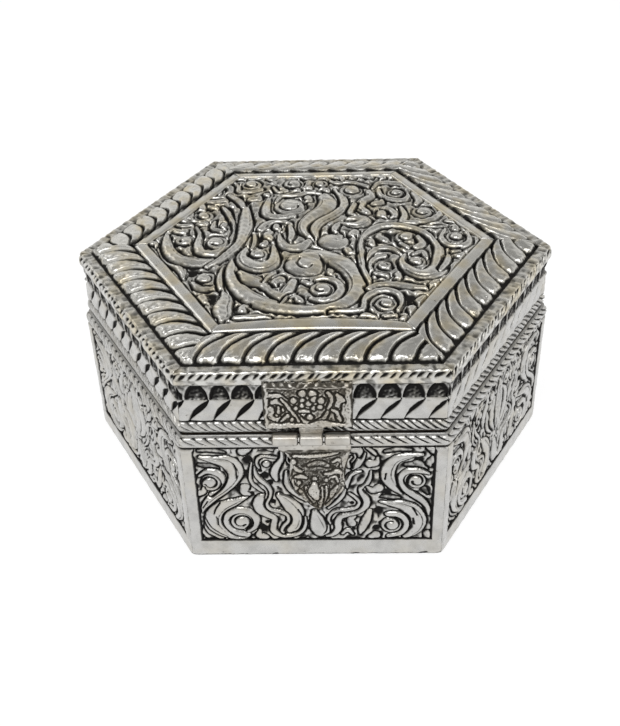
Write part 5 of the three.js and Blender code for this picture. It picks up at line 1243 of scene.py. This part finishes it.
HASP_PITS = [(-0.6, 28.6, 0.6), (0.9, 25.6, 0.55), (2.8, 25.3, 0.5), (1.0, 28.4, 0.45), (-3.2, 30.4, 0.5),
             (3.4, 30.0, 0.6)]
HASP_MIDDLE = 0.8
HASP_FLOOR, HASP_GROUND, HASP_CROWN = -0.75, -0.3, 0.35
# The neck above the ornament is plain from this height; below a drop under the pin the shield flares out
NECK_START = 34.4
FLARE_DROP, FLARE = 10.05, 1.2


def hasp_shield():
    top, tip = CLASP_AXIS - KNUCKLE + 0.35, hasp_low[2]
    rows = 190
    share, z = grid_of(150, rows, tip, top)
    lobes = 0.5 * lumps(z, np.sign(share) * 3.1, 3.4, 12) * smoothstep((CLASP_AXIS - 4.4 - z) / 2)
    drop, half = np.array(HASP_OUTLINE).T
    width = np.maximum(np.interp(CLASP_AXIS - z, drop, half) - 0.1 + lobes * (z > tip + 1.5), 0.3)
    x = np.clip(HASP_MIDDLE + share * width, hasp_low[0], hasp_high[0])
    relief = Relief(x - HASP_MIDDLE, z, HASP_FLOOR, HASP_GROUND)
    draw(relief, HASP_STROKES, HASP_FLOOR, HASP_CROWN)
    relief.pits(HASP_PITS)
    h = relief.h + 0.08 * lumps(x, z, 1.0, 13) + 0.06 * lumps(x, z, 0.45, 14)
    edge = width - np.abs(x - HASP_MIDDLE)
    h = h + 0.12 * lumps(x, z, 1.5, 19) * smoothstep(1.6 - edge) - 0.35 * smoothstep(1 - edge / 0.4)
    h = np.where(z > NECK_START, -0.25 + 0.05 * lumps(x, z, 1.3, 15), h)
    wear = wear_of(h, HASP_FLOOR, HASP_CROWN, step=0.09, sharp=1.1, body=0.55)
    neck_wear = 0.5 + 0.22 * lumps(x, z * 1.5, 2.2, 16) + 0.4 * (z > NECK_START + 0.8)
    wear = np.where(z > NECK_START, neck_wear, wear)
    flare_top = CLASP_AXIS - FLARE_DROP
    flare = FLARE * np.clip((flare_top - z) / (flare_top - tip), 0, 1)
    front = np.stack([x, -(CLASP_OUT + 0.4 + flare + h), z], -1)
    picked = np.linspace(0, rows - 1, 12).astype(int)
    rear = backed(front, 1, -(CLASP_OUT - 0.4 + flare[picked]), picked)
    sheet("hasp_cast", front, rear, wear, rim=0.75, body="hasp", replaced=("hasp",), **CAST_METAL)


clasp_plate()
clasp_knuckles()
hasp_shield()


# Hinges at the back, and the stud that the hasp closes on
HINGE_GAP = 0.3
LEAF_THICKNESS = 0.5
LEAF_OFFSET = 0.2
KNUCKLE_END = 0.02


def hinge_leaf(hand, part, body):
    """A leaf lying in the parting gap, with its own knuckles of the barrel"""
    node = f"hinge_{part}_leaf_{hand}"
    low, high = node_box(node)
    radius = (high[2] - low[2]) / 2
    axis_y, axis_height = high[1] - radius, (low[2] + high[2]) / 2
    length = (high[0] - low[0] - 2 * HINGE_GAP) / 3
    own = [low[0] + i * (length + HINGE_GAP) for i in ((0, 2) if part == "lower" else (1,))]
    rest = dict(body=body, replaced=(node,), **HINGE_METAL)
    for i, start in enumerate(own):
        rod(f"{node}_knuckle_{i + 1}", start, start + length, -axis_y, axis_height, radius - 0.02, **rest)
    top = axis_height + (-LEAF_OFFSET if part == "lower" else LEAF_OFFSET + LEAF_THICKNESS)
    # columns close together where the leaf's end steps between its knuckles
    steps = [v for s in own for v in (s, s + KNUCKLE_END, s + length - KNUCKLE_END, s + length)]
    x = np.unique(np.clip(np.concatenate([np.linspace(low[0], high[0], 60), steps]), low[0], high[0]))
    reaches = np.any([(x > s + 0.01) & (x < s + length - 0.01) for s in own], axis=0)
    end = np.where(reaches, axis_y - 0.4, axis_y - radius - 0.2)
    y = low[1] + (end - low[1]) * np.linspace(0, 1, 24)[:, None]
    x = x + 0 * y
    edge = np.minimum.reduce([x - low[0], high[0] - x, y - low[1]])
    z = top - 0.25 * smoothstep(1 - edge / 0.3) - 0.03 * (1 + lumps(x, y, 1.4, 71))
    front = np.stack([x, y, z], -1)
    back = backed(front, 2, top - LEAF_THICKNESS)
    sheet(node + "_plate", front, back, np.full(x.shape, 0.8), rim=0.6, **rest)


def catch_stud():
    """A domed stud turned about its own axis, with a groove behind its head"""
    low, high = node_box("catch_stud")
    radius = (high[0] - low[0]) / 2
    head, dome, shank = 2.2, 0.75, 0.6
    # radii and distances outward, from the dome's pole back to the shank's end
    profile = [(radius * math.sin(a), head - dome + dome * math.cos(a))
               for a in np.linspace(0, math.pi / 2, 14)[1:]]
    profile += [(radius, head - 1.0), (radius * 0.9, 0.7), (radius * 0.72, 0.5), (radius, 0.25),
                (radius, 0.0), (shank, 0.0), (shank, head - (high[1] - low[1]))]
    angle = np.linspace(0, 2 * math.pi, 48, endpoint=False)
    r, out = np.array(profile).T
    r = r[:, None] * (1 + 0.012 * lumps(3 * np.cos(angle), 3 * np.sin(angle), 2.0, 72))[None]
    x = (low[0] + high[0]) / 2 + r * np.cos(angle)
    y = low[1] + head - out[:, None] + 0 * r
    z = (low[2] + high[2]) / 2 + r * np.sin(angle)
    turned_solid("catch_stud_turned", np.stack([x, y, z], -1), np.full(r.shape, 0.8), body="base",
                 replaced=("catch_stud",), **HINGE_METAL)


for hand in ("right", "left"):
    hinge_leaf(hand, "lower", "base")
    hinge_leaf(hand, "upper", "lid")
catch_stud()


# Carried-over nodes
def dress(prefixes, material):
    for name, node in frame["nodes"].items():
        if name.startswith(prefixes):
            node.data.materials.clear()
            node.data.materials.append(material)


dress(("floor_board", "wall_board", "lid_rail", "lid_board"), wood())
dress(("floor_lining", "wall_lining", "lid_top_lining", "lid_wall_lining"), velvet())
dress(("base_felt",), felt())
dress(("hinge", "clasp_pin", "catch_stud"), STEEL)


# Floor, world and lamps
FLOOR_HALF = 1.5
# Height as a share of the way up the sky, and how bright the sky is there in reflections
SKIES = ((0.12, 0.98), (0.55, 0.66), (0.74, 0.42), (1.0, 0.34))


def floor():
    mesh = bpy.data.meshes.new("floor")
    corners = [(x * FLOOR_HALF, y * FLOOR_HALF, 0) for x, y in ((-1, -1), (1, -1), (1, 1), (-1, 1))]
    mesh.from_pydata(corners, [], [(0, 1, 2, 3)])
    m = new_material("pale_floor")
    diffuse = m.add("BsdfDiffuse", Color=(0.8, 0.8, 0.8))
    shadowed = m.add("BsdfDiffuse", Color=(0.2, 0.2, 0.2))
    glow = m.add("Emission", Strength=0.86)
    both = m.add("AddShader", shadowed.outputs[0], glow.outputs[0])
    m.add("OutputMaterial", Surface=m.for_ray(diffuse, both))
    mesh.materials.append(m.owner)
    plane = add_object("floor", mesh)


def world():
    bpy.context.scene.world = bpy.data.worlds.new("studio")
    m = Nodes(bpy.context.scene.world)
    height = m.add("SeparateXYZ", m.add("TexCoord").outputs["Generated"]).outputs["Z"]
    sky = m.ramp(height, *((share, (level, 0.99 * level, 0.96 * level)) for share, level in SKIES))
    plain = m.add("Background", Color=(1.0, 1.0, 1.0), Strength=0.5)
    seen = m.add("Background", Color=sky)
    m.add("OutputWorld", Surface=m.for_ray(plain, seen))


def lamp(name, spot, aim, size, power):
    """An area lamp at a spot, turned to its aim"""
    data = bpy.data.lights.new(name, "AREA")
    data.shape = "RECTANGLE"
    data.size, data.size_y = size
    data.energy = power
    shining = add_object(name, data)
    shining.location = spot
    shining.rotation_euler = (Vector(aim) - Vector(spot)).to_track_quat("-Z", "Y").to_euler()


floor()
world()
lamp("key", spot=(-0.05, -0.27, 0.74), aim=(0, 0, 0.03), size=(0.66, 0.56), power=3.3)
lamp("fill", spot=(0.60, -0.30, 0.40), aim=(0, 0, 0.03), size=(0.35, 0.35), power=0.5)
lamp("rim", spot=(-0.50, 0.45, 0.55), aim=(0, 0, 0.04), size=(0.25, 0.25), power=0.3)

bpy.context.scene.view_settings.view_transform = "Standard"
